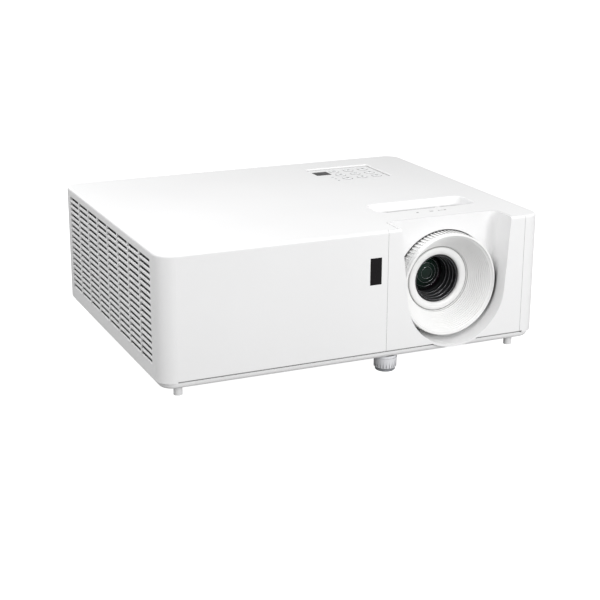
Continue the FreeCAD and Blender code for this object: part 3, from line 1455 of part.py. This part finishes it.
def make_fan(name, low_x, middle_y):
    """A square axial fan whose axis runs along X: frame with struts, and a bladed rotor."""
    half = "fan_size / 2"
    middle_z = f"(fan_low + {half})"
    x = (low_x, f"({low_x} + fan_thickness)")
    frame = cut(
        name + "_rim",
        block(
            name + "_box", x, (f"{middle_y} - {half}", f"{middle_y} + {half}"),
            ("fan_low", "fan_low + fan_size"),
        ),
        rod(
            name + "_bore", "fan_bore", f"fan_thickness + 2 * {PAST}",
            (f"{x[0]} - {PAST}", middle_y, middle_z), RIGHT,
        ),
    )
    hub = rod(name + "_mount", "fan_hub", "fan_strut", (x[0], middle_y, middle_z), RIGHT)
    strut = "fan_strut / 2"
    struts = [
        block(
            name + "_strut_a", (x[0], f"{x[0]} + fan_strut"),
            (f"{middle_y} - {half}", f"{middle_y} + {half}"),
            (f"{middle_z} - {strut}", f"{middle_z} + {strut}"),
        ),
        block(
            name + "_strut_b", (x[0], f"{x[0]} + fan_strut"),
            (f"{middle_y} - {strut}", f"{middle_y} + {strut}"),
            (f"{middle_z} - {half}", f"{middle_z} + {half}"),
        ),
    ]
    pin = rod(
        name + "_pin", "motor_shaft", "fan_thickness - fan_strut",
        (f"{x[0]} + fan_strut", middle_y, middle_z), RIGHT,
    )
    node(fuse(name + "_frame", frame, hub, *struts, pin), name + "_frame")

    body = turned(name + "_rotor", [
        ("motor_shaft + running_gap", "fan_strut + motor_gap"), ("fan_hub", "fan_strut + motor_gap"),
        ("fan_hub", "fan_thickness - motor_gap"), ("motor_shaft + running_gap", "fan_thickness - motor_gap"),
    ], (x[0], middle_y, middle_z), RIGHT)
    outline = new_sketch(body, name + "_blade_outline", "YZ_Plane", "fan_hub - blade_sheet")
    low, high = "(fan_strut + 2 * motor_gap)", "(fan_thickness - 2 * motor_gap)"
    lean = "fan_hub / 2"
    draw_loop(outline, [
        (f"-{lean}", low), (f"-{lean} + blade_sheet", low), (f"{lean} + blade_sheet", high),
        (f"{lean}", high),
    ])
    blade = pad(body, name + "_blade", outline, "blade_tip - fan_hub + blade_sheet")
    polar_pattern(body, name + "_blades", blade, "Z_Axis", "blade_count")
    node(body, name + "_rotor")


def make_air_path():
    make_fan("intake_fan", f"({LEFT} + intake_gap)", "0")
    make_fan(
        "exhaust_fan", f"({RIGHT_SIDE} - exhaust_gap - fan_thickness)",
        f"({REAR} - exhaust_fan_setback - fan_size / 2)",
    )
    x = (f"{LEFT} + wall + filter_gap", f"{LEFT} + wall + filter_gap + filter_thickness")
    node(block(
        "dust_filter", x, (f"{FRONT} + filter_margin", f"{REAR} - filter_margin"),
        ("slot_low - filter_sill", "top_level - roof - filter_gap"),
    ), "dust_filter")
    node(turned("speaker", [
        ("0", "0"), ("speaker_radius / 2", "0"), ("speaker_radius / 2", "speaker_depth / 2"),
        ("speaker_radius - speaker_rim", "speaker_depth - speaker_rim"),
        ("speaker_radius", "speaker_depth - speaker_rim"),
        ("speaker_radius", "speaker_depth"), ("0", "speaker_depth"),
    ], (f"{LEFT} + speaker_inset", "-speaker_radius", "speaker_level"), RIGHT), "speaker")


# --- feet, inserts and screws --------------------------------------------------------------


def make_foot(name, at):
    """A screw foot: knob on its stem and the sole it turns on. Returns the case's insert."""
    x, y = at
    here = (x, y, "0")
    start, end = "case_clearance", "case_clearance + insert_length"
    insert = turned(name + "_insert", [
        ("stem_radius + foot_thread_gap", start), ("stem_radius + insert_wall", start),
        ("stem_radius + insert_wall", end), ("stem_radius + foot_thread_gap", end),
    ], here, UP)
    low, top = "(sole_height + thread_gap)", "(sole_height + thread_gap + knob_height)"
    body = turned(name + "_knob", [
        ("pivot_radius + running_gap", low), ("knob_radius - knob_taper - rim_round", low),
        ("knob_radius - knob_taper", f"{low} + rim_round"), ("knob_radius", f"{top} - collar_band"),
        ("knob_radius - rim_round", f"{top} - collar_band"), ("knob_radius - rim_round", top),
        ("stem_radius", top), ("stem_radius", f"{low} + stem_length"), ("0", f"{low} + stem_length"),
        ("0", f"{low} + pivot_height"), ("pivot_radius + running_gap", f"{low} + pivot_height"),
    ], here, UP)
    outline = new_sketch(body, name + "_rib_outline", "XY_Plane", f"{low} + 2 * rim_round")
    draw_rectangle(
        outline, ("knob_radius - knob_taper - 2 * knob_rib", "knob_radius - knob_rib / 2"),
        ("-knob_rib", "knob_rib"),
    )
    rib = pad(body, name + "_rib", outline, "knob_height - collar_band - 3 * rim_round")
    polar_pattern(body, name + "_ribs", rib, "Z_Axis", "knob_ribs")
    node(body, name + "_knob")
    node(turned(name + "_sole", [
        ("0", "0"), ("sole_radius - rim_round", "0"), ("sole_radius", "rim_round"),
        ("sole_radius", "sole_height"),
        ("pivot_radius", "sole_height"), ("pivot_radius", f"{low} + pivot_height - foot_thread_gap"),
        ("0", f"{low} + pivot_height - foot_thread_gap"),
    ], here, UP), name + "_sole")
    return insert


def make_feet():
    inserts = [make_foot("front_foot", FOOT_AT), make_foot("rear_foot", REAR_FEET[1])]
    x, y = REAR_FEET[0]
    node(turned("fixed_foot", [
        ("0", "0"), ("sole_radius - rim_round", "0"), ("sole_radius", "rim_round"),
        ("sole_radius", "sole_height"),
        ("knob_radius - knob_taper", "sole_height"), ("knob_radius", "case_clearance"),
        ("stem_radius + insert_wall", "case_clearance"),
        ("stem_radius + insert_wall", "case_clearance + insert_length"),
        ("0", "case_clearance + insert_length"),
    ], (x, y, "0"), UP), "fixed_foot")
    for index, point in enumerate(CEILING_POINTS):
        at = (*point, "case_clearance")
        sleeve = rod(f"ceiling_sleeve_{index}", "ceiling_insert", "ceiling_insert_length", at)
        hole = rod(
            f"ceiling_bore_{index}", "ceiling_bore", f"ceiling_insert_length + 2 * {PAST}",
            (*point, f"case_clearance - {PAST}"),
        )
        inserts.append(cut(f"ceiling_insert_{index}", sleeve, hole))
    node(group("threaded_inserts", *inserts), "threaded_inserts")
    screws = []
    for index, point in enumerate(corner_points("collar_inset", "collar_setback")):
        head = rod(f"screw_head_{index}", "head_radius", "head_height", (*point, "head_level"))
        shank = rod(
            f"screw_shank_{index}", "shank_radius", "base_floor + screw_grip",
            (*point, "head_level + head_height / 2"),
        )
        screws.append(fuse(f"case_screw_{index}", head, shank))
    node(group("case_screws", *screws), "case_screws")


def write_parts():
    """Check every object, then write each sub-part to its own file."""
    DOC.recompute()
    for item in DOC.Objects:
        if "Invalid" in item.State or "Error" in item.State:
            raise RuntimeError(f"{item.Name} failed: {item.State}")
    os.makedirs("parts", exist_ok=True)
    for item in NODES:
        if item.Shape.isNull() or not item.Shape.isValid():
            raise RuntimeError(f"{item.Label} has no valid shape")
        item.Shape.exportStep(f"parts/{item.Label}.step")
        print(item.Label, len(item.Shape.Solids), round(item.Shape.Volume))


write_sheet()
make_top_cover()
make_bottom_case()
make_lens_panel()
make_case_panels()
make_keypad()
make_lens()
make_engine()
make_ports()
make_rear_panel()
make_inlet()
make_boards()
make_air_path()
make_feet()
write_parts()
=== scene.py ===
import json
import math

import bmesh
import bpy
from mathutils import Matrix, Vector


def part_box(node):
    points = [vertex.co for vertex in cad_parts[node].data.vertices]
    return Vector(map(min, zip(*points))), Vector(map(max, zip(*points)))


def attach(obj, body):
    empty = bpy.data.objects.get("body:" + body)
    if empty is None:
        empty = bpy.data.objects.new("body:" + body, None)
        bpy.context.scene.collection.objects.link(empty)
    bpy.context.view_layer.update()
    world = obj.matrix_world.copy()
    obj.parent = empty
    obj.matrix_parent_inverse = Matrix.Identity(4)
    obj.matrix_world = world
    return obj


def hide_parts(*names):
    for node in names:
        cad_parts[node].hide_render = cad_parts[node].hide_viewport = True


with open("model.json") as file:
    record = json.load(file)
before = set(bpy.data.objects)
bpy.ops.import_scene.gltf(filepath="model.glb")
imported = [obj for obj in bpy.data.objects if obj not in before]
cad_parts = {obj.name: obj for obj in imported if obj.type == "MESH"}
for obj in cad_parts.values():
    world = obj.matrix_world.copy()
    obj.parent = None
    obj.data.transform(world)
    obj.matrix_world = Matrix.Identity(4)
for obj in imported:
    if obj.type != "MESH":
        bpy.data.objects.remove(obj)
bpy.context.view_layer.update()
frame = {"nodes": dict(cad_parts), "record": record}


# --- materials -----------------------------------------------------------------------------

# Painted shade: gaps narrower than the reach darken, down to the floor's share of the colour.
# Openness is the range of the open share of the sky over which the painted shade fades out.
CREVICE_REACH = 0.0036
CREVICE_FLOOR = 0.03
CREVICE_OPENNESS = (0.15, 0.75)
CREVICE_SAMPLES = 12
PRINT_STRENGTH = 0.7

class Surface:
    """A Principled material whose nodes are added by short calls."""

    def __init__(self, name, colour, roughness, metallic=0.0, **sockets):
        self.material = bpy.data.materials.new(name)
        self.material.use_nodes = True
        self.tree = self.material.node_tree
        self.shader = self.tree.nodes["Principled BSDF"]
        self.shader.inputs["Base Color"].default_value = (*colour, 1.0)
        self.shader.inputs["Roughness"].default_value = roughness
        self.shader.inputs["Metallic"].default_value = metallic
        self.bump_out = None
        self.coords = self.add("ShaderNodeTexCoord").outputs["Object"]
        for key, value in sockets.items():
            self.shader.inputs[key.replace("_", " ")].default_value = value

    def add(self, kind, **settings):
        node = self.tree.nodes.new(kind)
        for key, value in settings.items():
            setattr(node, key, value)
        return node

    def join(self, source, target):
        self.tree.links.new(source, target)

    def noise(self, scale, detail=3.0, stretch=(1.0, 1.0, 1.0), rough=0.5):
        """Noise in metres of the row frame: scale is in cells per metre."""
        mapping = self.add("ShaderNodeMapping")
        mapping.inputs["Scale"].default_value = stretch
        self.join(self.coords, mapping.inputs["Vector"])
        node = self.add("ShaderNodeTexNoise")
        node.inputs["Scale"].default_value = scale
        node.inputs["Detail"].default_value = detail
        node.inputs["Roughness"].default_value = rough
        self.join(mapping.outputs["Vector"], node.inputs["Vector"])
        return node.outputs["Fac"]

    def cells(self, scale, feature="F1"):
        node = self.add("ShaderNodeTexVoronoi", feature=feature)
        node.inputs["Scale"].default_value = scale
        self.join(self.coords, node.inputs["Vector"])
        return node.outputs["Distance"]

    def spread(self, source, low, high, start=0.3, end=0.7):
        """Maps a texture's value to a range."""
        node = self.add("ShaderNodeMapRange")
        node.inputs["From Min"].default_value = start
        node.inputs["From Max"].default_value = end
        node.inputs["To Min"].default_value = low
        node.inputs["To Max"].default_value = high
        self.join(source, node.inputs["Value"])
        return node.outputs["Result"]

    def vary_roughness(self, source, low, high):
        self.join(self.spread(source, low, high), self.shader.inputs["Roughness"])

    def vary_colour(self, source, dark, light, start=0.3, end=0.7):
        ramp = self.add("ShaderNodeValToRGB")
        ramp.color_ramp.elements[0].position = start
        ramp.color_ramp.elements[1].position = end
        ramp.color_ramp.elements[0].color = (*dark, 1.0)
        ramp.color_ramp.elements[1].color = (*light, 1.0)
        self.join(source, ramp.inputs["Fac"])
        self.join(ramp.outputs["Color"], self.shader.inputs["Base Color"])

    def scale_colour(self, share):
        """Multiplies whatever feeds the base colour."""
        tone = self.shader.inputs["Base Color"]
        mix = self.add("ShaderNodeVectorMath", operation="SCALE")
        self.join(tone.links[0].from_socket, mix.inputs[0])
        self.join(share, mix.inputs["Scale"])
        self.join(mix.outputs["Vector"], tone)

    def shade_crevices(self, reach, floor):
        """Paints shade into the base colour: darkens it in gaps narrower than the reach, down to the
        floor's share.
        """
        openness = self.add("ShaderNodeAmbientOcclusion")
        openness.samples = CREVICE_SAMPLES
        openness.inputs["Distance"].default_value = reach
        self.scale_colour(self.spread(openness.outputs["AO"], floor, 1.0, *CREVICE_OPENNESS))

    def print_marks(self, marks, strength):
        """Prints upright rectangles, each a (middle x, middle y, half width, half height)."""
        place = self.add("ShaderNodeSeparateXYZ")
        self.join(self.coords, place.inputs[0])
        printed = None
        for x, y, half_x, half_y in marks:
            sides = []
            for axis, middle, half in (("X", x, half_x), ("Y", y, half_y)):
                inside = self.add("ShaderNodeMath", operation="COMPARE")
                self.join(place.outputs[axis], inside.inputs[0])
                inside.inputs[1].default_value = middle
                inside.inputs[2].default_value = half
                sides.append(inside.outputs[0])
            mark = self.combine("MULTIPLY", *sides)
            printed = mark if printed is None else self.combine("ADD", printed, mark)
        self.scale_colour(self.spread(printed, 1.0, 1.0 - strength, 0.0, 1.0))

    def combine(self, operation, first, second):
        node = self.add("ShaderNodeMath", operation=operation)
        self.join(first, node.inputs[0])
        self.join(second, node.inputs[1])
        return node.outputs[0]

    def bump(self, source, depth, strength=1.0):
        """Adds relief of that depth in metres, on top of any relief added before."""
        node = self.add("ShaderNodeBump")
        node.inputs["Strength"].default_value = strength
        node.inputs["Distance"].default_value = depth
        self.join(source, node.inputs["Height"])
        if self.bump_out is not None:
            self.join(self.bump_out, node.inputs["Normal"])
        self.bump_out = node.outputs["Normal"]
        self.join(self.bump_out, self.shader.inputs["Normal"])


def shade(colour, amount):
    return tuple(min(1.0, channel * amount) for channel in colour)


def moulded(name, colour, roughness, grain=2600.0, depth=0.00004, marks=(), **sockets):
    """Moulded plastic: fine spark-eroded grain that varies its gloss, slow waves of tone and painted
    shade in its gaps.
    """
    surface = Surface(name, colour, roughness, **sockets)
    slow = surface.noise(9.0, 2.0)
    surface.vary_colour(slow, shade(colour, 0.985), shade(colour, 1.01))
    # Painted shade: ambient occlusion darkens the colour in narrow gaps and seams, standing in for
    # the shadow there.
    surface.shade_crevices(CREVICE_REACH, CREVICE_FLOOR)
    if marks:
        surface.print_marks(marks, PRINT_STRENGTH)
    fine = surface.noise(grain, 4.0, rough=0.65)
    surface.vary_roughness(fine, roughness * 0.88, roughness * 1.12)
    surface.bump(fine, depth, 0.5)
    return surface.material


def glossy_window(name):
    """Infrared-clear black plastic: polished, with the faint waviness of a moulding."""
    surface = Surface(name, (0.006, 0.005, 0.006), 0.3, Specular_IOR_Level=0.25)
    surface.vary_roughness(surface.noise(60.0), 0.25, 0.36)
    surface.bump(surface.noise(14.0, 1.0), 0.00006, 0.4)
    return surface.material


def metal(name, colour, roughness, stretch, scale=900.0, depth=0.00002):
    """Metal with tool marks drawn out along one direction."""
    surface = Surface(name, colour, roughness, metallic=1.0)
    marks = surface.noise(scale, 3.0, stretch)
    surface.vary_roughness(marks, roughness * 0.75, roughness * 1.3)
    surface.vary_colour(surface.noise(40.0), shade(colour, 0.93), shade(colour, 1.05))
    surface.bump(marks, depth, 0.5)
    return surface.material


def circuit(name):
    """Green solder mask over copper tracks."""
    surface = Surface(name, (0.01, 0.12, 0.05), 0.35, Coat_Weight=0.3)
    tracks = surface.cells(260.0, "F2")
    surface.vary_colour(tracks, (0.004, 0.06, 0.03), (0.02, 0.17, 0.07), 0.2, 0.6)
    surface.vary_roughness(surface.noise(500.0), 0.28, 0.45)
    surface.bump(tracks, 0.00003, 0.4)
    return surface.material


def foam(name):
    """Open-cell filter foam."""
    surface = Surface(name, (0.035, 0.037, 0.04), 0.95)
    pores = surface.cells(620.0)
    surface.vary_colour(pores, (0.012, 0.012, 0.014), (0.075, 0.078, 0.082), 0.1, 0.5)
    surface.vary_roughness(pores, 0.85, 1.0)
    surface.bump(pores, 0.0006, 0.9)
    return surface.material


def coated_glass(name):
    """Deep lens glass: near black, with a painted green and violet sheen that stands for its
    coating's reflections.
    """
    surface = Surface(
        name, (0.004, 0.012, 0.008), 0.05, IOR=1.5, Specular_IOR_Level=0.22, Coat_Weight=0.2,
        Coat_Roughness=0.04, Coat_Tint=(0.72, 0.66, 0.9, 1.0),
    )
    # Painted reflection: the base colour turns from green face-on to violet at a slant.
    facing = surface.add("ShaderNodeLayerWeight")
    facing.inputs["Blend"].default_value = 0.4
    surface.vary_colour(
        facing.outputs["Facing"], (0.003, 0.022, 0.012), (0.012, 0.004, 0.008), 0.02, 0.5,
    )
    surface.vary_roughness(surface.noise(120.0), 0.03, 0.07)
    return surface.material


def rubber(name, colour):
    surface = Surface(name, colour, 0.8)
    surface.vary_colour(surface.noise(300.0), shade(colour, 0.7), shade(colour, 1.3))
    surface.vary_roughness(surface.noise(900.0), 0.7, 0.9)
    surface.bump(surface.noise(2200.0, 2.0), 0.00008, 0.6)
    return surface.material


def clear_plastic(name):
    surface = Surface(name, (0.75, 0.8, 0.82), 0.25, Transmission_Weight=0.6, IOR=1.49)
    surface.vary_roughness(surface.noise(700.0), 0.18, 0.35)
    surface.bump(surface.noise(400.0), 0.00002, 0.4)
    return surface.material


def ink(name, colour):
    """Pad-printed ink: flat, a little uneven."""
    surface = Surface(name, colour, 0.5)
    surface.vary_colour(surface.noise(1500.0), shade(colour, 0.8), shade(colour, 1.25))
    surface.vary_roughness(surface.noise(1800.0), 0.4, 0.6)
    surface.bump(surface.noise(2500.0), 0.00001, 0.4)
    return surface.material


SHELL_WHITE = (0.85, 0.85, 0.852)
SHELL_GLOSS = {"roughness": 0.46, "Specular_IOR_Level": 0.4}

FINISHES = {
    "white_shell": moulded("white_shell", SHELL_WHITE, **SHELL_GLOSS),
    "white_ring": moulded(
        "white_ring", (0.86, 0.86, 0.855), 0.38, 1800.0, 0.00002, Specular_IOR_Level=0.45,
    ),
    "white_key": moulded("white_key", (0.80, 0.805, 0.81), 0.42, 2200.0, 0.00002),
    "dark_window": glossy_window("dark_window"),
    "clear_plastic": clear_plastic("clear_plastic"),
    "black_plastic": moulded("black_plastic", (0.016, 0.016, 0.018), 0.42, 1500.0, 0.00003),
    "grey_panel": moulded("grey_panel", (0.2, 0.205, 0.21), 0.5, 2200.0, 0.00005),
    "grey_knob": moulded("grey_knob", (0.84, 0.845, 0.87), 0.45, 2000.0, 0.00004),
    "sole_rubber": rubber("sole_rubber", (0.3, 0.31, 0.33)),
    "lens_glass": coated_glass("lens_glass"),
    "circuit_board": circuit("circuit_board"),
    "cast_metal": metal("cast_metal", (0.5, 0.51, 0.52), 0.5, (1.0, 1.0, 1.0), 700.0, 0.00008),
    "fin_metal": metal("fin_metal", (0.7, 0.71, 0.72), 0.32, (1.0, 1.0, 0.05)),
    "wheel_metal": metal("wheel_metal", (0.8, 0.8, 0.82), 0.15, (1.0, 0.1, 1.0)),
    "motor_metal": metal("motor_metal", (0.52, 0.52, 0.53), 0.3, (1.0, 1.0, 0.1)),
    "laser_brass": metal("laser_brass", (0.72, 0.53, 0.24), 0.3, (0.1, 1.0, 1.0)),
    "copper": metal("copper", (0.75, 0.36, 0.2), 0.28, (0.05, 1.0, 1.0)),
    "port_metal": metal("port_metal", (0.68, 0.68, 0.69), 0.22, (0.1, 1.0, 1.0)),
    "filter_foam": foam("filter_foam"),
    "screw_steel": metal("screw_steel", (0.5, 0.5, 0.52), 0.3, (1.0, 1.0, 0.2)),
}


# Plain marks on the roof in front of the lever's pocket, where a zoom scale would be printed:
# each a (middle x, middle y, half width, half height) in metres.
ROOF_MARKS = [
    (0.0742, -0.0885, 0.0010, 0.0010),
    (0.0874, -0.0880, 0.0020, 0.0004),
    (0.0874, -0.0892, 0.0014, 0.0004),
    (0.0944, -0.0885, 0.0005, 0.0011),
    (0.0970, -0.0885, 0.0012, 0.0004),
    (0.1004, -0.0885, 0.0010, 0.0010),
]
PRINTED_SHELL = moulded("printed_shell", SHELL_WHITE, marks=ROOF_MARKS, **SHELL_GLOSS)


def finish_nodes():
    """Every CAD node takes the finish of its record slot; the cover's also carries its print."""
    slots = {part["node"]: part["material_slot"] for part in frame["record"]["subparts"]}
    for name, node in frame["nodes"].items():
        node.data.materials.clear()
        node.data.materials.append(PRINTED_SHELL if name == "top_cover" else FINISHES[slots[name]])


# --- pieces of the lens --------------------------------------------------------------------

CELL_OPENING = 0.0193
CELL_STEP = 0.0009
CELL_STEPS = 3
EDGE_ROUND = 0.00011
EDGE_PROUD = EDGE_ROUND / 3
DOME_RISE = 0.0045
INNER_EDGES = (0.0125, 0.0088, 0.0052)
TURN_SEGMENTS = 128
TUBE_SIDES = 8
DOME_STEPS = 24


def middle_of(node):
    low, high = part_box(node)
    return (Vector(low) + Vector(high)) / 2


def linked(name, shape):
    """A new object in the scene, made of a finished bmesh."""
    bmesh.ops.recalc_face_normals(shape, faces=shape.faces)
    mesh = bpy.data.meshes.new(name)
    shape.to_mesh(mesh)
    shape.free()
    piece = bpy.data.objects.new(name, mesh)
    bpy.context.scene.collection.objects.link(piece)
    return piece


def revolved(name, profile, centre, closed=False):
    """A smooth surface turned about the lens axis from (radius, place along Y) points."""
    shape = bmesh.new()
    rings = []
    for radius, along in profile:
        count = 1 if radius == 0 else TURN_SEGMENTS
        rings.append([
            shape.verts.new((
                centre.x + radius * math.cos(math.tau * i / TURN_SEGMENTS), along,
                centre.z + radius * math.sin(math.tau * i / TURN_SEGMENTS),
            )) for i in range(count)
        ])
    pairs = list(zip(rings, rings[1:]))
    if closed:
        pairs.append((rings[-1], rings[0]))
    for here, there in pairs:
        for i in range(TURN_SEGMENTS):
            following = (i + 1) % TURN_SEGMENTS
            corners = [here[i % len(here)], here[following % len(here)],
                       there[following % len(there)], there[i % len(there)]]
            shape.faces.new(list(dict.fromkeys(corners)))
    piece = linked(name, shape)
    for face in piece.data.polygons:
        face.use_smooth = True
    return piece


def finish_piece(piece, body, slot, material=None):
    """Gives a piece its finish, taken from its slot unless a material is given, and the body it moves
    with.
    """
    piece.data.materials.append(material or FINISHES[slot])
    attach(piece, body)


def edge_ring(name, radius, along, centre):
    """A thin bright ring about the lens axis, which moves with the front group."""
    turns = [math.tau * i / TUBE_SIDES for i in range(TUBE_SIDES)]
    profile = [
        (radius + EDGE_ROUND * math.cos(turn), along + EDGE_ROUND * math.sin(turn)) for turn in turns
    ]
    finish_piece(revolved(name, profile, centre, closed=True), "front_group", "screw_steel")


def make_front_glass():
    """The front element as a true dome in the CAD blank's place."""
    low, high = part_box("front_lens")
    centre = middle_of("front_lens")
    radius = (high[0] - low[0]) / 2
    sphere = (radius ** 2 + DOME_RISE ** 2) / (2 * DOME_RISE)

    def surface_at(out):
        return low[1] + sphere - math.sqrt(sphere ** 2 - out ** 2)

    profile = [(0, low[1])]
    for step in range(1, DOME_STEPS + 1):
        out = radius * step / DOME_STEPS
        profile.append((out, surface_at(out)))
    profile.extend([(radius, high[1]), (0, high[1])])
    dome = revolved("front_glass", profile, centre)
    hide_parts("front_lens")
    finish_piece(dome, "front_group", "lens_glass")
    for index, out in enumerate(INNER_EDGES):
        edge_ring(f"glass_edge_{index}", out, surface_at(out) - EDGE_PROUD, centre)


def make_cell_edges():
    """The turned edges of the black cell, each with its thin bright chamfer."""
    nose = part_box("front_lens_cell")[0][1]
    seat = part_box("front_lens")[0][1]
    centre = middle_of("front_lens_cell")
    for step in range(CELL_STEPS + 1):
        radius = CELL_OPENING - CELL_STEP * step
        along = nose + (seat - nose) * step / (CELL_STEPS + 1)
        edge_ring(f"cell_edge_{step}", radius, along + EDGE_ROUND, centre)


# --- printed key symbols -------------------------------------------------------------------

KEY_DISH = 0.00025
INK_THICKNESS = 0.00004
STROKE = 0.00042
ARC_STEPS = 14
ARROW_REACH = 0.0016
SMALL_ARROW_REACH = 0.0007
LOOP_RADIUS = 0.0014
ENTER_RADIUS = 0.0013
POWER_STEM = {"y": 0.0012, "height": 0.0016}
MENU_LINE = 0.0028
MENU_ROWS = (-0.001, 0, 0.001)
SOURCE_LINE = 0.0026
SOURCE_ROWS = (-0.0008, 0.0008)


def bar(x, y, width, height):
    """An upright rectangle about its middle."""
    return [(x - width / 2, y - height / 2), (x + width / 2, y - height / 2),
            (x + width / 2, y + height / 2), (x - width / 2, y + height / 2)]


def arrow(angle, reach=ARROW_REACH):
    """A triangle that points along an angle in degrees."""
    turns = [math.radians(angle + share) for share in (0, 120, 240)]
    return [(reach * math.cos(turn), reach * math.sin(turn)) for turn in turns]


def arc(radius, start, end):
    """Short four-sided strokes along a circle between two angles in degrees."""
    turns = [
        math.radians(start + (end - start) * step / ARC_STEPS) for step in range(ARC_STEPS + 1)
    ]
    inner, outer = radius - STROKE / 2, radius + STROKE / 2
    return [
        [(inner * math.cos(a), inner * math.sin(a)), (outer * math.cos(a), outer * math.sin(a)),
         (outer * math.cos(b), outer * math.sin(b)), (inner * math.cos(b), inner * math.sin(b))]
        for a, b in zip(turns, turns[1:])
    ]


KEY_SYMBOLS = {
    "menu_button": [bar(0, row, MENU_LINE, STROKE) for row in MENU_ROWS],
    "down_button": [arrow(-90)],
    "resync_button": arc(LOOP_RADIUS, 20, 160) + arc(LOOP_RADIUS, 200, 340),
    "left_button": [arrow(180)],
    "enter_button": arc(ENTER_RADIUS, 0, 360),
    "right_button": [arrow(0)],
    "power_button": arc(LOOP_RADIUS, 125, 415) + [bar(0, width=STROKE, **POWER_STEM)],
    "up_button": [arrow(90)],
    "source_button": (
        [bar(0, row, SOURCE_LINE, STROKE) for row in SOURCE_ROWS] + [arrow(0, SMALL_ARROW_REACH)]
    ),
}


def make_key_symbols():
    """Flat ink on each key, which travels with it."""
    key_ink = ink("key_ink", (0.05, 0.05, 0.055))
    for key, outlines in KEY_SYMBOLS.items():
        spot = middle_of(key)
        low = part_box(key)[1].z - KEY_DISH
        shape = bmesh.new()
        for outline in outlines:
            face = shape.faces.new([
                shape.verts.new((spot.x + x, spot.y + y, low)) for x, y in outline
            ])
            raised = bmesh.ops.extrude_face_region(shape, geom=[face])["geom"]
            tops = [item for item in raised if isinstance(item, bmesh.types.BMVert)]
            bmesh.ops.translate(shape, verts=tops, vec=(0, 0, INK_THICKNESS))
        finish_piece(linked(f"{key}_symbol", shape), key, "black_plastic", key_ink)


# --- stage, light and camera ---------------------------------------------------------------

CAMERA_AT = Vector((-0.47427, -1.06764, 0.39982))
CAMERA_YAW = 0.4234
CAMERA_PITCH = 0.3065
CAMERA_ROLL = 0.0047
CAMERA_LENS = 82.62
CAMERA_SENSOR = 36.0
WORLD_LIGHT = 0.54
WORLD_SEEN = 1.0
FLOOR_TONE = 0.34
FLOOR_REACH = 8.0

# Name, place, the point it looks at, width and height in metres, and watts.
LIGHTS = [
    ("top_light", (-0.44, -0.1, 0.72), (-0.14, 0.0, 0.12), (0.35, 0.3), 2.9),
    ("front_light", (0.3, -1.25, 0.55), (0.0, -0.13, 0.07), (0.5, 0.4), 8.6),
    ("back_light", (-0.2, 1.3, 0.3), (0.0, 0.13, 0.07), (0.5, 0.4), 3.0),
    ("corner_light", (0.4, -0.35, 0.5), (0.13, -0.12, 0.12), (0.2, 0.2), 0.4),
]


def make_camera():
    forward = Vector((
        math.sin(CAMERA_YAW) * math.cos(CAMERA_PITCH),
        math.cos(CAMERA_YAW) * math.cos(CAMERA_PITCH),
        -math.sin(CAMERA_PITCH),
    ))
    level = Vector((math.cos(CAMERA_YAW), -math.sin(CAMERA_YAW), 0.0))
    upright = level.cross(forward)
    right = level * math.cos(CAMERA_ROLL) + upright * math.sin(CAMERA_ROLL)
    up = upright * math.cos(CAMERA_ROLL) - level * math.sin(CAMERA_ROLL)
    data = bpy.data.cameras.new("camera")
    data.lens = CAMERA_LENS
    data.sensor_width = CAMERA_SENSOR
    data.clip_end = 50.0
    camera = bpy.data.objects.new("camera", data)
    turn = Matrix((right, up, -forward)).transposed().to_4x4()
    camera.matrix_world = Matrix.Translation(CAMERA_AT) @ turn
    bpy.context.scene.collection.objects.link(camera)
    bpy.context.scene.camera = camera


def area_light(name, at, target, size, power):
    data = bpy.data.lights.new(name, "AREA")
    data.shape = "RECTANGLE"
    data.size, data.size_y = size
    data.energy = power
    light = bpy.data.objects.new(name, data)
    light.location = at
    light.rotation_euler = (Vector(target) - Vector(at)).to_track_quat("-Z", "Y").to_euler()
    bpy.context.scene.collection.objects.link(light)


def make_light():
    """A white room, with lights above the left, in front, behind and at the near right corner.

    The camera sees the room at full white, and the object is lit by less of it.
    """
    world = bpy.data.worlds.new("studio")
    world.use_nodes = True
    backdrop = world.node_tree.nodes["Background"]
    backdrop.inputs["Color"].default_value = (1.0, 1.0, 1.0, 1.0)
    seen = world.node_tree.nodes.new("ShaderNodeMapRange")
    seen.inputs["To Min"].default_value = WORLD_LIGHT
    seen.inputs["To Max"].default_value = WORLD_SEEN
    rays = world.node_tree.nodes.new("ShaderNodeLightPath")
    world.node_tree.links.new(rays.outputs["Is Camera Ray"], seen.inputs["Value"])
    world.node_tree.links.new(seen.outputs["Result"], backdrop.inputs["Strength"])
    bpy.context.scene.world = world
    bpy.context.scene.view_settings.view_transform = "Standard"
    for settings in LIGHTS:
        area_light(*settings)


def make_floor():
    """White paper under the object, which the camera sees as bright as the room."""
    mesh = bpy.data.meshes.new("floor")
    corners = [
        Vector((FLOOR_REACH * x, FLOOR_REACH * y, 0)) for x, y in ((-1, -1), (1, -1), (1, 1), (-1, 1))
    ]
    mesh.from_pydata(corners, [], [(0, 1, 2, 3)])
    floor = bpy.data.objects.new("floor", mesh)
    surface = Surface(
        "floor_paper", (FLOOR_TONE, FLOOR_TONE, FLOOR_TONE), 0.9,
        Emission_Color=(1.0, 1.0, 1.0, 1.0),
    )
    rays = surface.add("ShaderNodeLightPath")
    surface.join(rays.outputs["Is Camera Ray"], surface.shader.inputs["Emission Strength"])
    surface.bump(surface.noise(300.0), 0.0001, 0.2)
    mesh.materials.append(surface.material)
    bpy.context.scene.collection.objects.link(floor)


finish_nodes()
make_front_glass()
make_cell_edges()
make_key_symbols()
make_camera()
make_light()
make_floor()
